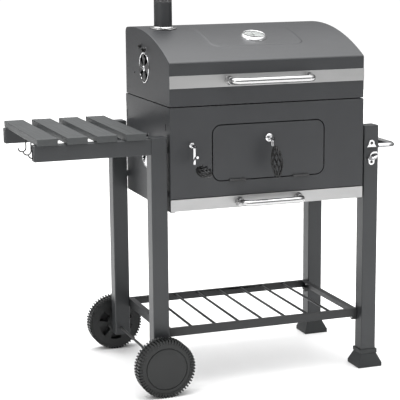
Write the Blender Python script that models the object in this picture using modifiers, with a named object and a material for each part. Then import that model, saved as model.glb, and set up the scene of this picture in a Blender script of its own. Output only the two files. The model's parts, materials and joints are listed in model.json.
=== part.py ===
"""Charcoal barbecue trolley: barrel lid with chimney, firebox with loading door,
crank-lifted charcoal tray, ash drawer, slatted side table, push bar, two wheels.

Metres, +Z up, front towards -Y, +X to the right.  Everything hangs on one empty,
whose offset puts the middle of the whole trolley's footprint on the world origin.
"""
import math

import bpy
import bmesh
from mathutils import Matrix, Vector

for old in list(bpy.data.objects):
    bpy.data.objects.remove(old, do_unlink=True)

# ---------------------------------------------------------------- driving sizes
FIT = 0.0003                 # gap between pieces that touch
SHEET = 0.0015               # sheet steel of panels, lid, tray and drawer

BODY_WIDTH = 0.620           # firebox, outside
BODY_DEPTH = 0.434
SEAM_Z = 0.850               # top edge of the firebox
SIDE_HEIGHT = 0.3075         # side and rear panels, down from the seam
FRONT_HEIGHT = 0.2675        # front panel, down from the seam

LID_GAP = 0.003              # dark seam between lid and firebox
LID_SETBACK = 0.005          # lid rear wall, in front of the firebox rear wall
LID_FRONT_HEIGHT = 0.126     # flat front of the lid
LID_HEIGHT = 0.211
LID_PEAK_FROM_REAR = 0.089   # highest line of the lid's curve
LID_REAR_RADIUS = 0.018
LID_BAND_HEIGHT = 0.0365
LID_BAND_LIFT = 0.052        # band's lower edge above the lid's rim
BAND_THICK = 0.001

DOOR_WIDTH = 0.356
DOOR_HEIGHT = 0.163
DOOR_RADIUS = 0.025
DOOR_GAP = 0.003
DOOR_DROP = 0.058            # door's top edge below the seam
DOOR_HINGE_SPREAD = 0.205    # between the two hinge centres
DOOR_HINGE_WIDTH = 0.052

SLOT_HEIGHT = 0.020          # slots in the side panels
SLOT_WIDTH = 0.005
SLOT_DROP = 0.061            # slot's middle below the seam
SLOT_FRONT = 0.039           # from the front edge
SLOT_REAR = 0.014

LEDGE_DROP = 0.035           # grate ledge below the seam
LEDGE_WIDTH = 0.012
GRATE_THICK = 0.005
GRATE_BORDER = 0.008
GRATE_BAR = 0.005
GRATE_GAPS = 13
GRATE_PLAY = 0.004           # round each grate

LEG_WIDTH = 0.049
LEG_DEPTH = 0.0465
LEG_WALL = 0.0015
LEG_TOP_DROP = 0.085         # leg top below the seam
LEG_STAND_OFF = 0.007        # leg to side panel, bridged by pressed pads
LEG_FRONT_INSET = 0.006      # leg front behind the firebox front
LEG_REAR_OVERHANG = 0.0225   # leg rear behind the firebox rear
PAD_RADIUS = 0.010
PAD_DROPS = (0.125, 0.255)   # pads' centres below the seam

FOOT_HEIGHT = 0.055
FOOT_FLARE = 0.016
FOOT_BASE = 0.011
FOOT_COLLAR = 0.013
FOOT_COLLAR_WALL = 0.004
FOOT_FLOOR = 0.006

WHEEL_RADIUS = 0.088
WHEEL_WIDTH = 0.042
WHEEL_STAND_OFF = 0.019      # wheel to leg
WHEEL_HUB_RADIUS = 0.014
WHEEL_DISC_RECESS = 0.006
TREAD_DEPTH = 0.024
AXLE_RADIUS = 0.004
AXLE_INSET = 0.019           # axle centre inside the leg's outer face
AXLE_END = 0.003             # axle end inside the wheel's outer face
LEG_BELOW_AXLE = 0.0225
RUNNING = 0.0001             # radial clearance of turning fits

SHELF_Z = 0.182              # top of the shelf frame
SHELF_HEIGHT = 0.026
SHELF_SIDE_FLANGE = 0.018
SHELF_END_FLANGE = 0.010
SHELF_INSET = 0.031          # shelf front behind the leg front
RUNG_RADIUS = 0.004
RUNG_COUNT = 7
RUNG_PITCH = 0.0766
RUNG_DROP = 0.006

TABLE_LENGTH = 0.320         # slats, from first edge to last
TABLE_GAP = 0.0165           # last slat to the leg
SLAT_WIDTH = 0.060
SLAT_THICK = 0.0195
SLAT_COUNT = 4
SLAT_OVERHANG = 0.010        # slat front beyond the front rail
SLAT_REAR_SHORT = 0.0165     # slat rear, in front of the legs' rear faces
RAIL_HEIGHT = 0.046
RAIL_DEPTH = 0.035
RAIL_DROP = 0.003            # rail top below the leg top
RAIL_OVERSHOOT = 0.006
HOOK_RADIUS = 0.002
HOOK_COUNT = 3
HOOK_FIRST = 0.048           # first hook behind the slat's front end
HOOK_PITCH = 0.067
HOOK_IN = 0.008              # shank inside the slat's outer edge
HOOK_BEND = 0.0115
HOOK_SHANK = 0.028

PUSH_RADIUS = 0.011
PUSH_REACH = 0.067           # bar's centre line beyond the legs
PUSH_DROP = 0.071            # bar below the leg tops
PUSH_BEND = 0.030

HANDLE_RADIUS = 0.0095
HANDLE_REACH = 0.045
HANDLE_BEND = 0.022
FLANGE_RADIUS = 0.014
FLANGE_THICK = 0.003
LID_HANDLE_SPAN = 0.254
DRAWER_HANDLE_SPAN = 0.190

DRAWER_FRONT_HEIGHT = 0.035
DRAWER_FRONT_GAP = 0.0025    # below the front panel
DRAWER_PAN_HEIGHT = 0.031
DRAWER_PLAY = 0.004
RUNNER_WIDTH = 0.014
RUNNER_PLAY = 0.0005

VENT_RADIUS = 0.047
VENT_THICK = 0.0012
PETAL_INNER = 0.013
PETAL_OUTER = 0.038
PETAL_HALF_ANGLE = math.radians(18)
PETAL_COUNT = 4
KNOB_RADIUS = 0.0075
KNOB_LENGTH = 0.012
KNOB_OFFSET = 0.056          # knob's centre from the disc's centre
KNOB_ANGLE = math.radians(14)
LID_VENT_BACK = 0.237        # disc centre behind the firebox front
LID_VENT_LIFT = 0.095        # above the lid's rim
BODY_VENT_BACK = 0.224
BODY_VENT_DROP = 0.1605

GAUGE_X = 0.0075             # thermometer, on the lid's curve
GAUGE_BACK = 0.1415          # behind the lid's front
GAUGE_RADIUS = 0.0410
GAUGE_RIM = 0.0045
GAUGE_HEIGHT = 0.009
GAUGE_FLOOR = 0.004
GAUGE_STEM_RADIUS = 0.004
GAUGE_STEM = 0.045

CHIMNEY_X = -0.234
CHIMNEY_BACK = 0.280         # behind the lid's front
CHIMNEY_RADIUS = 0.0277
CHIMNEY_WALL = 0.0014
CHIMNEY_RISE = 0.0785        # shoulder above the lid's skin
CHIMNEY_DIP = 0.012          # below the lid's skin
CHIMNEY_NECK = 0.018
CAP_HEIGHT = 0.020
CAP_WINDOWS = 16
CAP_WINDOW_WIDTH = 0.0035
CAP_WINDOW_HEIGHT = 0.010
CHIMNEY_FLANGE_RADIUS = 0.042
CHIMNEY_FLANGE_THICK = 0.0022

SHAFT_X_INSET = 0.0655       # crank shaft inside the side panel's outer face
SHAFT_DROP = 0.111           # below the seam
SHAFT_RADIUS = 0.004
SHAFT_REACH = 0.041          # arm in front of the firebox
SHAFT_REAR_GAP = 0.004
CRANK_ARM = 0.061
CRANK_BEND = 0.008
CRANK_STUB = 0.003           # straight end of the crank, where its grip starts
GRIP_RADIUS = 0.019
GRIP_WIRE = 0.0015
GRIP_WIRES = 6
GRIP_TWIST = math.radians(140)
GRIP_HUB_RADIUS = 0.0055
GRIP_HUB_LENGTH = 0.007
CRANK_GRIP_LENGTH = 0.106
LATCH_GRIP_LENGTH = 0.095

PINION_TEETH = 12
PINION_RADIUS = 0.015        # pitch circle
PINION_WIDTH = 0.010
RACK_SPREAD = 0.300          # between the two racks
RACK_BODY = 0.010
RACK_TEETH_UP = 2            # teeth above the shaft at rest
RACK_TEETH_DOWN = 9
LIFT_TRAVEL = 0.055
TOOTH_SHARE = 0.40           # tooth width, of the pitch
ADDENDUM = 0.80              # of the module
DEDENDUM = 1.05
PRESSURE = math.radians(20)
GUIDE_WALL = 0.0035
GUIDE_HEIGHT = 0.040

TRAY_DROP = 0.200            # tray floor below the seam, at rest
TRAY_HEIGHT = 0.050
TRAY_SIDE_PLAY = 0.006       # to the pinions
TRAY_RIGHT_PLAY = 0.0385     # to the right panel
TRAY_DEPTH_PLAY = 0.0305     # to the front and rear panels
TRAY_SLOTS = 5
TRAY_SLOT_WIDTH = 0.006
CARRIAGE_BAR = 0.014
CARRIAGE_THICK = 0.004

LATCH_DROP = 0.102           # spindle below the seam
LATCH_SPINDLE_RADIUS = 0.004
LATCH_HUB_RADIUS = 0.0135
LATCH_REACH = 0.044          # in front of the door
LATCH_LEAN = math.radians(13)
LATCH_NECK = 0.018
TONGUE_LENGTH = 0.062
TONGUE_WIDTH = 0.012
TONGUE_THICK = 0.002
TONGUE_GAP = 0.0012          # behind the front panel

HINGE_PIN = 0.0016
HINGE_BARREL = 0.0036
HINGE_LEAF = 0.0015
HINGE_PLAY = 0.0003
STRAP_SINK = 0.0002          # knuckle strap thinner than its leaf, on each face
LID_HINGE_SPREAD = 0.400
LID_HINGE_WIDTH = 0.050
LID_LEAF_HEIGHT = 0.030
DOOR_LEAF_HEIGHT = 0.011

OPENER_WIDTH = 0.033
OPENER_HEIGHT = 0.080
OPENER_DROP = 0.043          # top, below the leg top
OPENER_THICK = 0.003
OPENER_LIP = 0.014

# ------------------------------------------------------------- worked-out places
X_OUT = BODY_WIDTH / 2
X_IN = X_OUT - SHEET
Y_FRONT = -BODY_DEPTH / 2
Y_REAR = BODY_DEPTH / 2
Y_FRONT_IN = Y_FRONT + SHEET
Y_REAR_IN = Y_REAR - SHEET
SIDE_BOTTOM = SEAM_Z - SIDE_HEIGHT
FRONT_BOTTOM = SEAM_Z - FRONT_HEIGHT

LID_BOTTOM = SEAM_Z + LID_GAP
LID_FRONT = Y_FRONT
LID_REAR = Y_REAR - LID_SETBACK
LID_CREASE = LID_BOTTOM + LID_FRONT_HEIGHT
LID_TOP = LID_BOTTOM + LID_HEIGHT
LID_PEAK_Y = LID_REAR - LID_PEAK_FROM_REAR
LID_RISE = LID_TOP - LID_CREASE
LID_CHORD = LID_PEAK_Y - LID_FRONT
LID_RADIUS = (LID_CHORD ** 2 + LID_RISE ** 2) / (2 * LID_RISE)
LID_CENTRE_Z = LID_TOP - LID_RADIUS

LEG_IN = X_OUT + LEG_STAND_OFF
LEG_OUT = LEG_IN + LEG_WIDTH
LEG_TOP = SEAM_Z - LEG_TOP_DROP
LEG_FRONT_Y = (Y_FRONT + LEG_FRONT_INSET, Y_FRONT + LEG_FRONT_INSET + LEG_DEPTH)
LEG_REAR_Y = (Y_REAR + LEG_REAR_OVERHANG - LEG_DEPTH, Y_REAR + LEG_REAR_OVERHANG)
AXLE_X = -LEG_OUT + AXLE_INSET
AXLE_Z = WHEEL_RADIUS

TABLE_RIGHT = -LEG_OUT - TABLE_GAP
TABLE_LEFT = TABLE_RIGHT - TABLE_LENGTH
SLAT_PITCH = (TABLE_LENGTH - SLAT_WIDTH) / (SLAT_COUNT - 1)
RAIL_TOP = LEG_TOP - RAIL_DROP
SLAT_FRONT = LEG_FRONT_Y[0] - SLAT_OVERHANG
SLAT_REAR = LEG_REAR_Y[1] - SLAT_REAR_SHORT
SLAT_BOTTOM = RAIL_TOP + FIT

HOOK_X = TABLE_LEFT + HOOK_IN
HOOK_TIP_X = HOOK_X - 2 * HOOK_BEND
PUSH_X = LEG_OUT + PUSH_REACH
SHAFT_X = -X_OUT + SHAFT_X_INSET
SHAFT_Z = SEAM_Z - SHAFT_DROP
CRANK_Y = Y_FRONT - SHAFT_REACH
CRANK_TIP = CRANK_Y - CRANK_BEND - CRANK_STUB - FIT - CRANK_GRIP_LENGTH
WHEEL_REAR_Y = LEG_REAR_Y[1] + WHEEL_STAND_OFF + WHEEL_WIDTH
X_MID = (HOOK_TIP_X - HOOK_RADIUS + PUSH_X + PUSH_RADIUS) / 2
Y_MID = (CRANK_TIP + WHEEL_REAR_Y) / 2

DOOR_TOP = SEAM_Z - DOOR_DROP
DOOR_BOTTOM = DOOR_TOP - DOOR_HEIGHT
DOOR_AXIS = Vector((0, Y_FRONT - FIT - HINGE_BARREL, DOOR_BOTTOM - DOOR_GAP / 2))
LID_AXIS = Vector((0, Y_REAR + FIT + HINGE_BARREL, SEAM_Z + LID_GAP / 2))
LATCH_AXIS = Vector((0, Y_FRONT, SEAM_Z - LATCH_DROP))
LEDGE_Z = SEAM_Z - LEDGE_DROP
DRAWER_TOP = FRONT_BOTTOM - DRAWER_FRONT_GAP
DRAWER_FLOOR = SIDE_BOTTOM + SHEET + RUNNER_PLAY

# ------------------------------------------------------------------ the scene
parts = bpy.data.collections.new("barbecue_trolley")
cutters = bpy.data.collections.new("cutters")
bpy.context.scene.collection.children.link(parts)
bpy.context.scene.collection.children.link(cutters)


def empty(name, at, parent=None):
    obj = bpy.data.objects.new(name, None)
    obj.empty_display_size = 0.05
    parts.objects.link(obj)
    obj.parent = parent
    obj.location = Vector(at) - (frame_of(parent) if parent else Vector())
    return obj


def frame_of(parent):
    """Place of an empty, counted from the trolley's own empty."""
    place = Vector()
    while parent is not None and parent is not trolley:
        place += parent.location
        parent = parent.parent
    return place


trolley = None
trolley = empty("trolley", (-X_MID, -Y_MID, 0))


def paint(name, colour, roughness, metallic):
    material = bpy.data.materials.new(name)
    material.use_nodes = True
    shader = material.node_tree.nodes["Principled BSDF"]
    shader.inputs["Base Color"].default_value = (*colour, 1)
    shader.inputs["Roughness"].default_value = roughness
    shader.inputs["Metallic"].default_value = metallic
    material.diffuse_color = (*colour, 1)
    return material


ANTHRACITE = ((0.075, 0.078, 0.082), 0.45, 0.3)
CHROME = ((0.80, 0.80, 0.80), 0.12, 1.0)
STEEL = ((0.60, 0.60, 0.60), 0.30, 1.0)
BLACK = ((0.012, 0.012, 0.013), 0.5, 0.0)
PLASTIC = ((0.045, 0.047, 0.050), 0.55, 0.0)
IRON = ((0.03, 0.03, 0.03), 0.6, 0.6)
SLATE = ((0.13, 0.135, 0.14), 0.55, 0.0)
GLASS = ((0.9, 0.95, 0.95), 0.05, 0.0)
ENAMEL = ((0.02, 0.02, 0.02), 0.3, 0.1)


def part(obj, look, parent=None):
    """File an object as a piece of the trolley, with its own material."""
    for group in list(obj.users_collection):
        group.objects.unlink(obj)
    parts.objects.link(obj)
    obj.data.materials.clear()
    obj.data.materials.append(paint(obj.name, *look))
    hang(obj, parent or trolley)
    return obj


def hang(obj, parent):
    obj.parent = parent
    obj.location -= frame_of(parent)


def tool(obj, parent=None):
    """File an object as a cutter or as a body to be joined on."""
    for group in list(obj.users_collection):
        group.objects.unlink(obj)
    cutters.objects.link(obj)
    obj.hide_render = True
    obj.display_type = "WIRE"
    hang(obj, parent or trolley)
    return obj


def combine(obj, other, operation, solver="EXACT"):
    modifier = obj.modifiers.new(operation.lower(), "BOOLEAN")
    modifier.operation = operation
    modifier.solver = solver
    modifier.object = other


def cut(obj, other):
    combine(obj, other, "DIFFERENCE")


def join(obj, other):
    combine(obj, other, "UNION")


def mesh_object(name, bm, at=(0, 0, 0)):
    mesh = bpy.data.meshes.new(name)
    bm.to_mesh(mesh)
    bm.free()
    obj = bpy.data.objects.new(name, mesh)
    obj.location = at
    parts.objects.link(obj)
    return obj


def box(name, low, high):
    low = Vector(low)
    high = Vector(high)
    bm = bmesh.new()
    bmesh.ops.create_cube(bm, size=1)
    bmesh.ops.scale(bm, vec=high - low, verts=bm.verts)
    return mesh_object(name, bm, (low + high) / 2)


TURN = {"X": Matrix.Rotation(math.radians(90), 4, "Y"),
        "Y": Matrix.Rotation(math.radians(90), 4, "X"),
        "Z": Matrix.Identity(4)}


def rod(name, radius, start, length, axis, sides=24):
    """Cylinder from start, running along +X, +Y or +Z."""
    run = Vector([length if axis == letter else 0 for letter in "XYZ"])
    bm = bmesh.new()
    bmesh.ops.create_cone(bm, cap_ends=True, segments=sides, radius1=radius,
                          radius2=radius, depth=length, matrix=TURN[axis])
    obj = mesh_object(name, bm, Vector(start) + run / 2)
    smooth(obj)
    return obj


def smooth(obj):
    obj.data.shade_smooth()
    obj.data.set_sharp_from_angle(angle=math.radians(35))


def turned(name, profile, at, sides=32):
    """Profile of (radius, height) pairs spun round the local Z axis."""
    bm = bmesh.new()
    closed = profile[0] == profile[-1]
    if closed:
        profile = profile[:-1]
    points = [bm.verts.new((radius, 0, height)) for radius, height in profile]
    if closed:
        points.append(points[0])
    for first, second in zip(points, points[1:]):
        bm.edges.new((first, second))
    obj = mesh_object(name, bm, at)
    screw = obj.modifiers.new("spin", "SCREW")
    screw.steps = sides
    screw.render_steps = sides
    screw.use_merge_vertices = True
    screw.merge_threshold = 0.00005
    screw.use_smooth_shade = True
    return obj


def ring_profile(outer, inner, top, bottom):
    """Closed profile of a plain tube, down its outer side first."""
    return [(inner, top), (outer, top), (outer, bottom), (inner, bottom), (inner, top)]


PLANE = {"XY": (0, 0, 0),
         "XZ": (math.radians(90), 0, 0),
         "YZ": (math.radians(90), 0, math.radians(90))}


def plate(name, loops, thick, at, plane):
    """Flat outline, the first loop outside and the others holes, about its middle."""
    curve = bpy.data.curves.new(name, "CURVE")
    curve.dimensions = "2D"
    curve.fill_mode = "BOTH"
    curve.extrude = thick / 2
    for loop in loops:
        spline = curve.splines.new("POLY")
        spline.points.add(len(loop) - 1)
        for point, (across, up) in zip(spline.points, loop):
            point.co = (across, up, 0, 1)
        spline.use_cyclic_u = True
    obj = bpy.data.objects.new(name, curve)
    obj.location = at
    obj.rotation_euler = PLANE[plane]
    parts.objects.link(obj)
    return solid(obj)


def tube(name, points, radius, resolution=4):
    """Round bar along the points, with closed ends."""
    curve = bpy.data.curves.new(name, "CURVE")
    curve.dimensions = "3D"
    curve.bevel_depth = radius
    curve.bevel_resolution = resolution
    curve.use_fill_caps = True
    start = Vector(points[0])
    spline = curve.splines.new("POLY")
    spline.points.add(len(points) - 1)
    for point, place in zip(spline.points, points):
        point.co = (*(Vector(place) - start), 1)
    obj = bpy.data.objects.new(name, curve)
    obj.location = start
    parts.objects.link(obj)
    obj = solid(obj)
    smooth(obj)
    return obj


def solid(obj):
    """The curve object as a mesh object of the same name and place."""
    bpy.context.view_layer.update()
    graph = bpy.context.evaluated_depsgraph_get()
    mesh = bpy.data.meshes.new_from_object(obj.evaluated_get(graph))
    bm = bmesh.new()
    bm.from_mesh(mesh)
    bmesh.ops.remove_doubles(bm, verts=bm.verts, dist=0.00001)
    bmesh.ops.recalc_face_normals(bm, faces=bm.faces)
    bm.to_mesh(mesh)
    bm.free()
    name = obj.name
    place = obj.matrix_world.copy()
    bpy.data.objects.remove(obj)
    result = bpy.data.objects.new(name, mesh)
    result.matrix_world = place
    parts.objects.link(result)
    return result


def rectangle(left, bottom, right, top):
    return [(left, bottom), (right, bottom), (right, top), (left, top)]


def arc(centre, radius, start, end, steps):
    return [(centre[0] + radius * math.cos(start + (end - start) * step / steps),
             centre[1] + radius * math.sin(start + (end - start) * step / steps))
            for step in range(steps + 1)]


def rounded(left, bottom, right, top, radius, steps=5):
    quarter = math.pi / 2
    corners = ((right, top, 0), (left, top, 1), (left, bottom, 2), (right, bottom, 3))
    loop = []
    for across, up, turn in corners:
        inward = (across - math.copysign(radius, across - (left + right) / 2),
                  up - math.copysign(radius, up - (bottom + top) / 2))
        loop += arc(inward, radius, turn * quarter, (turn + 1) * quarter, steps)
    return loop


def bend(corner, before, after, radius, steps=5):
    """Points round a right-angled corner between two unit directions."""
    corner = Vector(corner)
    before = Vector(before)
    after = Vector(after)
    centre = corner - before * radius + after * radius
    points = []
    for step in range(steps + 1):
        angle = math.pi / 2 * step / steps
        points.append(centre - after * radius * math.cos(angle)
                      + before * radius * math.sin(angle))
    return points


def shell(obj, thick):
    """Solidify inwards, so the given faces stay the outer skin."""
    modifier = obj.modifiers.new("sheet", "SOLIDIFY")
    modifier.thickness = thick
    modifier.offset = -1
    modifier.use_even_offset = True


def open_side(obj, direction):
    """Remove the faces of a mesh that look along a local direction."""
    bm = bmesh.new()
    bm.from_mesh(obj.data)
    bm.normal_update()
    gone = [face for face in bm.faces if face.normal.dot(Vector(direction)) > 0.99]
    bmesh.ops.delete(bm, geom=gone, context="FACES")
    bm.to_mesh(obj.data)
    bm.free()


# ------------------------------------------------------------------- firebox
def ledge(name, wall_y, inward):
    """Grate ledge, reaching into its panel so that the two join."""
    ends = sorted((wall_y - inward * SHEET / 2, wall_y + inward * LEDGE_WIDTH))
    half = X_IN - FIT - SHEET
    return tool(box(name, (-half, ends[0], LEDGE_Z - SHEET), (half, ends[1], LEDGE_Z)))


def make_front_panel():
    outside = rectangle(-X_OUT, FRONT_BOTTOM, X_OUT, SEAM_Z)
    half = DOOR_WIDTH / 2 + DOOR_GAP
    doorway = rounded(-half, DOOR_BOTTOM - DOOR_GAP, half, DOOR_TOP + DOOR_GAP,
                      DOOR_RADIUS + DOOR_GAP)
    shaft = arc((SHAFT_X, SHAFT_Z), SHAFT_RADIUS + RUNNING, 0, 2 * math.pi, 16)[:-1]
    panel = part(plate("front_panel", [outside, doorway, shaft], SHEET,
                       (0, Y_FRONT + SHEET / 2, 0), "XZ"), ANTHRACITE)
    join(panel, ledge("front_ledge", Y_FRONT_IN, 1))


def make_rear_panel():
    outside = rectangle(-X_OUT, SIDE_BOTTOM, X_OUT, SEAM_Z)
    panel = part(plate("rear_panel", [outside], SHEET,
                       (0, Y_REAR - SHEET / 2, 0), "XZ"), ANTHRACITE)
    join(panel, ledge("rear_ledge", Y_REAR_IN, -1))


def make_side_panel(name, side, vent):
    """Panel between front and rear, with runner flange, slots and leg pads."""
    front = Y_FRONT_IN + FIT
    rear = Y_REAR_IN - FIT
    loops = [rectangle(front, SIDE_BOTTOM, rear, SEAM_Z)]
    if vent:
        centre = (Y_FRONT + BODY_VENT_BACK, SEAM_Z - BODY_VENT_DROP)
        loops += petals(centre)
    wall = side * (X_OUT - SHEET / 2)
    panel = part(plate(name, loops, SHEET, (wall, 0, 0), "YZ"), ANTHRACITE)
    slot_z = SEAM_Z - SLOT_DROP
    for middle in (Y_FRONT + SLOT_FRONT, Y_REAR - SLOT_REAR):
        cut(panel, tool(box(name + "_slot",
                            (wall - SHEET, middle - SLOT_WIDTH / 2, slot_z - SLOT_HEIGHT / 2),
                            (wall + SHEET, middle + SLOT_WIDTH / 2, slot_z + SLOT_HEIGHT / 2))))
    edges = sorted((side * (X_OUT - SHEET / 2), side * (X_IN - RUNNER_WIDTH)))
    join(panel, tool(box(name + "_runner", (edges[0], front, SIDE_BOTTOM),
                         (edges[1], rear, SIDE_BOTTOM + SHEET))))
    for leg_y in (LEG_FRONT_Y, LEG_REAR_Y):
        middle = min(sum(leg_y) / 2, rear - PAD_RADIUS)
        for drop in PAD_DROPS:
            length = SHEET / 2 + LEG_STAND_OFF - FIT
            start = wall if side > 0 else wall - length
            join(panel, tool(rod(name + "_pad", PAD_RADIUS,
                                 (start, middle, SEAM_Z - drop), length, "X", 16)))


def petals(centre, turn=0.0):
    """Four wedge holes on the diagonals round a centre."""
    loops = []
    for count in range(PETAL_COUNT):
        middle = turn + math.pi * (2 * count + 1) / PETAL_COUNT
        first = middle - PETAL_HALF_ANGLE
        last = middle + PETAL_HALF_ANGLE
        loops.append(arc(centre, PETAL_OUTER, first, last, 4)
                     + arc(centre, PETAL_INNER, last, first, 2))
    return loops


def make_grate(name, low_x, high_x):
    depth = (Y_FRONT_IN + GRATE_PLAY, Y_REAR_IN - GRATE_PLAY)
    loops = [rectangle(low_x, depth[0], high_x, depth[1])]
    span = high_x - low_x - 2 * GRATE_BORDER
    gap = (span - (GRATE_GAPS - 1) * GRATE_BAR) / GRATE_GAPS
    for count in range(GRATE_GAPS):
        left = low_x + GRATE_BORDER + count * (gap + GRATE_BAR)
        loops.append(rectangle(left, depth[0] + GRATE_BORDER,
                               left + gap, depth[1] - GRATE_BORDER))
    height = LEDGE_Z + FIT + GRATE_THICK / 2
    part(plate(name, loops, GRATE_THICK, (0, 0, height), "XY"), IRON)


# ---------------------------------------------------------------------- hinges
def hinge_half(name, axis, centre_x, width, face_y, reach, fixed, parent):
    """Half of a hinge: a leaf reaching up or down its wall, and its knuckles.

    The fixed half has the middle knuckle and the pin, the other half the outer two.
    """
    half = width / 2
    third = width / 6
    outward = math.copysign(1, axis.y - face_y)
    leaf_y = sorted((face_y, axis.y - outward * (HINGE_BARREL - HINGE_LEAF)))
    clear = axis.z + math.copysign(HINGE_BARREL + HINGE_PLAY, reach)
    leaf_z = sorted((clear, axis.z + reach))
    leaf = box(name, (centre_x - half, leaf_y[0], leaf_z[0]),
               (centre_x + half, leaf_y[1], leaf_z[1]))
    strap_z = sorted((axis.z, clear + math.copysign(0.002, reach)))
    spans = [(-third + HINGE_PLAY, third - HINGE_PLAY)]
    if not fixed:
        spans = [(-half, -third), (third, half)]
    for low, high in spans:
        barrel = rod(name + "_knuckle", HINGE_BARREL,
                     (centre_x + low, axis.y, axis.z), high - low, "X", 12)
        strap_y = sorted((axis.y - outward * (HINGE_BARREL - STRAP_SINK),
                          axis.y - outward * (HINGE_BARREL - HINGE_LEAF + STRAP_SINK)))
        strap = box(name + "_strap", (centre_x + low, strap_y[0], strap_z[0]),
                    (centre_x + high, strap_y[1], strap_z[1]))
        join(leaf, tool(strap, parent))
        join(leaf, tool(barrel, parent))
    pin_radius = HINGE_PIN if fixed else HINGE_PIN + RUNNING
    length = width if fixed else width + 2 * HINGE_PLAY
    pin = tool(rod(name + "_pin", pin_radius,
                   (centre_x - length / 2, axis.y, axis.z), length, "X", 12), parent)
    if fixed:
        join(leaf, pin)
    else:
        cut(leaf, pin)
    return leaf


def make_door(axle):
    half = DOOR_WIDTH / 2
    outside = rounded(-half, DOOR_BOTTOM, half, DOOR_TOP, DOOR_RADIUS)
    spindle = arc((LATCH_AXIS.x, LATCH_AXIS.z), LATCH_SPINDLE_RADIUS + RUNNING,
                  0, 2 * math.pi, 16)[:-1]
    door = part(plate("loading_door", [outside, spindle], SHEET,
                      (0, Y_FRONT + SHEET / 2, 0), "XZ"), ANTHRACITE, axle)
    for side, label in ((-1, "left"), (1, "right")):
        centre = side * DOOR_HINGE_SPREAD / 2
        leaf = hinge_half("door_leaf_" + label, DOOR_AXIS, centre, DOOR_HINGE_WIDTH,
                          Y_FRONT + SHEET / 2, DOOR_LEAF_HEIGHT, False, axle)
        combine(door, tool(leaf, axle), "UNION", "MANIFOLD")
        fixed = hinge_half("door_hinge_" + label, DOOR_AXIS, centre, DOOR_HINGE_WIDTH,
                           Y_FRONT - FIT, -DOOR_LEAF_HEIGHT, True, trolley)
        part(fixed, ANTHRACITE)


def make_latch(axle):
    """Spindle with its hub and bent neck in front of the door, tongue behind it."""
    inside = Y_FRONT_IN + TONGUE_GAP + TONGUE_THICK
    turn_y = Y_FRONT - LATCH_REACH
    lean = Vector((0, -math.sin(LATCH_LEAN), -math.cos(LATCH_LEAN)))
    corner = Vector((LATCH_AXIS.x, turn_y, LATCH_AXIS.z))
    start = Vector((LATCH_AXIS.x, inside, LATCH_AXIS.z))
    radius = LATCH_NECK / 2
    points = [start]
    for step in range(7):
        share = step / 6
        first = corner + Vector((0, radius * (1 - share), 0))
        second = corner + lean * radius * share
        points.append(first.lerp(second, share))
    points.append(corner + lean * LATCH_NECK)
    latch = part(tube("door_latch", points, LATCH_SPINDLE_RADIUS), CHROME, axle)
    join(latch, tool(rod("latch_hub", LATCH_HUB_RADIUS,
                         (LATCH_AXIS.x, Y_FRONT - FIT - 0.004, LATCH_AXIS.z),
                         0.004, "Y"), axle))
    tongue_y = Y_FRONT_IN + TONGUE_GAP
    join(latch, tool(box("latch_tongue",
                         (LATCH_AXIS.x - TONGUE_WIDTH / 2, tongue_y,
                          LATCH_AXIS.z - TONGUE_WIDTH / 2),
                         (LATCH_AXIS.x + TONGUE_LENGTH, tongue_y + TONGUE_THICK,
                          LATCH_AXIS.z + TONGUE_WIDTH / 2)), axle))
    grip_start = corner + lean * (LATCH_NECK + FIT)
    cage_grip("latch_grip", grip_start, lean, LATCH_GRIP_LENGTH, axle)


def cage_grip(name, start, direction, length, axle):
    """Basket of twisted wires between two hubs, along a direction."""
    turn = Vector((0, 0, 1)).rotation_difference(Vector(direction)).to_matrix().to_4x4()
    grip = rod(name, GRIP_HUB_RADIUS, (0, 0, 0), GRIP_HUB_LENGTH, "Z", 12)
    far = rod(name + "_far_hub", GRIP_HUB_RADIUS, (0, 0, length - GRIP_HUB_LENGTH),
              GRIP_HUB_LENGTH, "Z", 12)
    pieces = [grip, far]
    seat = GRIP_HUB_RADIUS * 0.62
    bow = GRIP_RADIUS - GRIP_WIRE - seat
    steps = 6
    for wire in range(GRIP_WIRES):
        base = 2 * math.pi * wire / GRIP_WIRES
        points = []
        for step in range(steps + 1):
            share = step / steps
            swell = seat + bow * math.sin(math.pi * share) ** 0.75
            angle = base + GRIP_TWIST * share
            rise = GRIP_HUB_LENGTH / 2 + (length - GRIP_HUB_LENGTH) * share
            points.append((swell * math.cos(angle), swell * math.sin(angle), rise))
        pieces.append(tube(name + "_wire", points, GRIP_WIRE, 0))
    for piece in pieces:
        piece.matrix_world = Matrix.Translation(start) @ turn @ piece.matrix_basis
    part(grip, BLACK, axle)
    for piece in pieces[1:]:
        join(grip, tool(piece, axle))


# ----------------------------------------------------------------- crank and lift
def make_crank(axle):
    rear = Y_REAR_IN - SHAFT_REAR_GAP
    elbow = (SHAFT_X, CRANK_Y, SHAFT_Z)
    knee = (SHAFT_X, CRANK_Y, SHAFT_Z - CRANK_ARM)
    points = [(SHAFT_X, rear, SHAFT_Z)]
    points += bend(elbow, (0, -1, 0), (0, 0, -1), CRANK_BEND)
    points += bend(knee, (0, 0, -1), (0, -1, 0), CRANK_BEND)
    points.append((SHAFT_X, CRANK_Y - CRANK_BEND - CRANK_STUB, SHAFT_Z - CRANK_ARM))
    part(tube("crank", points, SHAFT_RADIUS), CHROME, axle)
    start = Vector(knee) + Vector((0, -CRANK_BEND - CRANK_STUB - FIT, 0))
    cage_grip("crank_grip", start, (0, -1, 0), CRANK_GRIP_LENGTH, axle)


def involute(angle):
    return math.tan(angle) - angle


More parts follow.
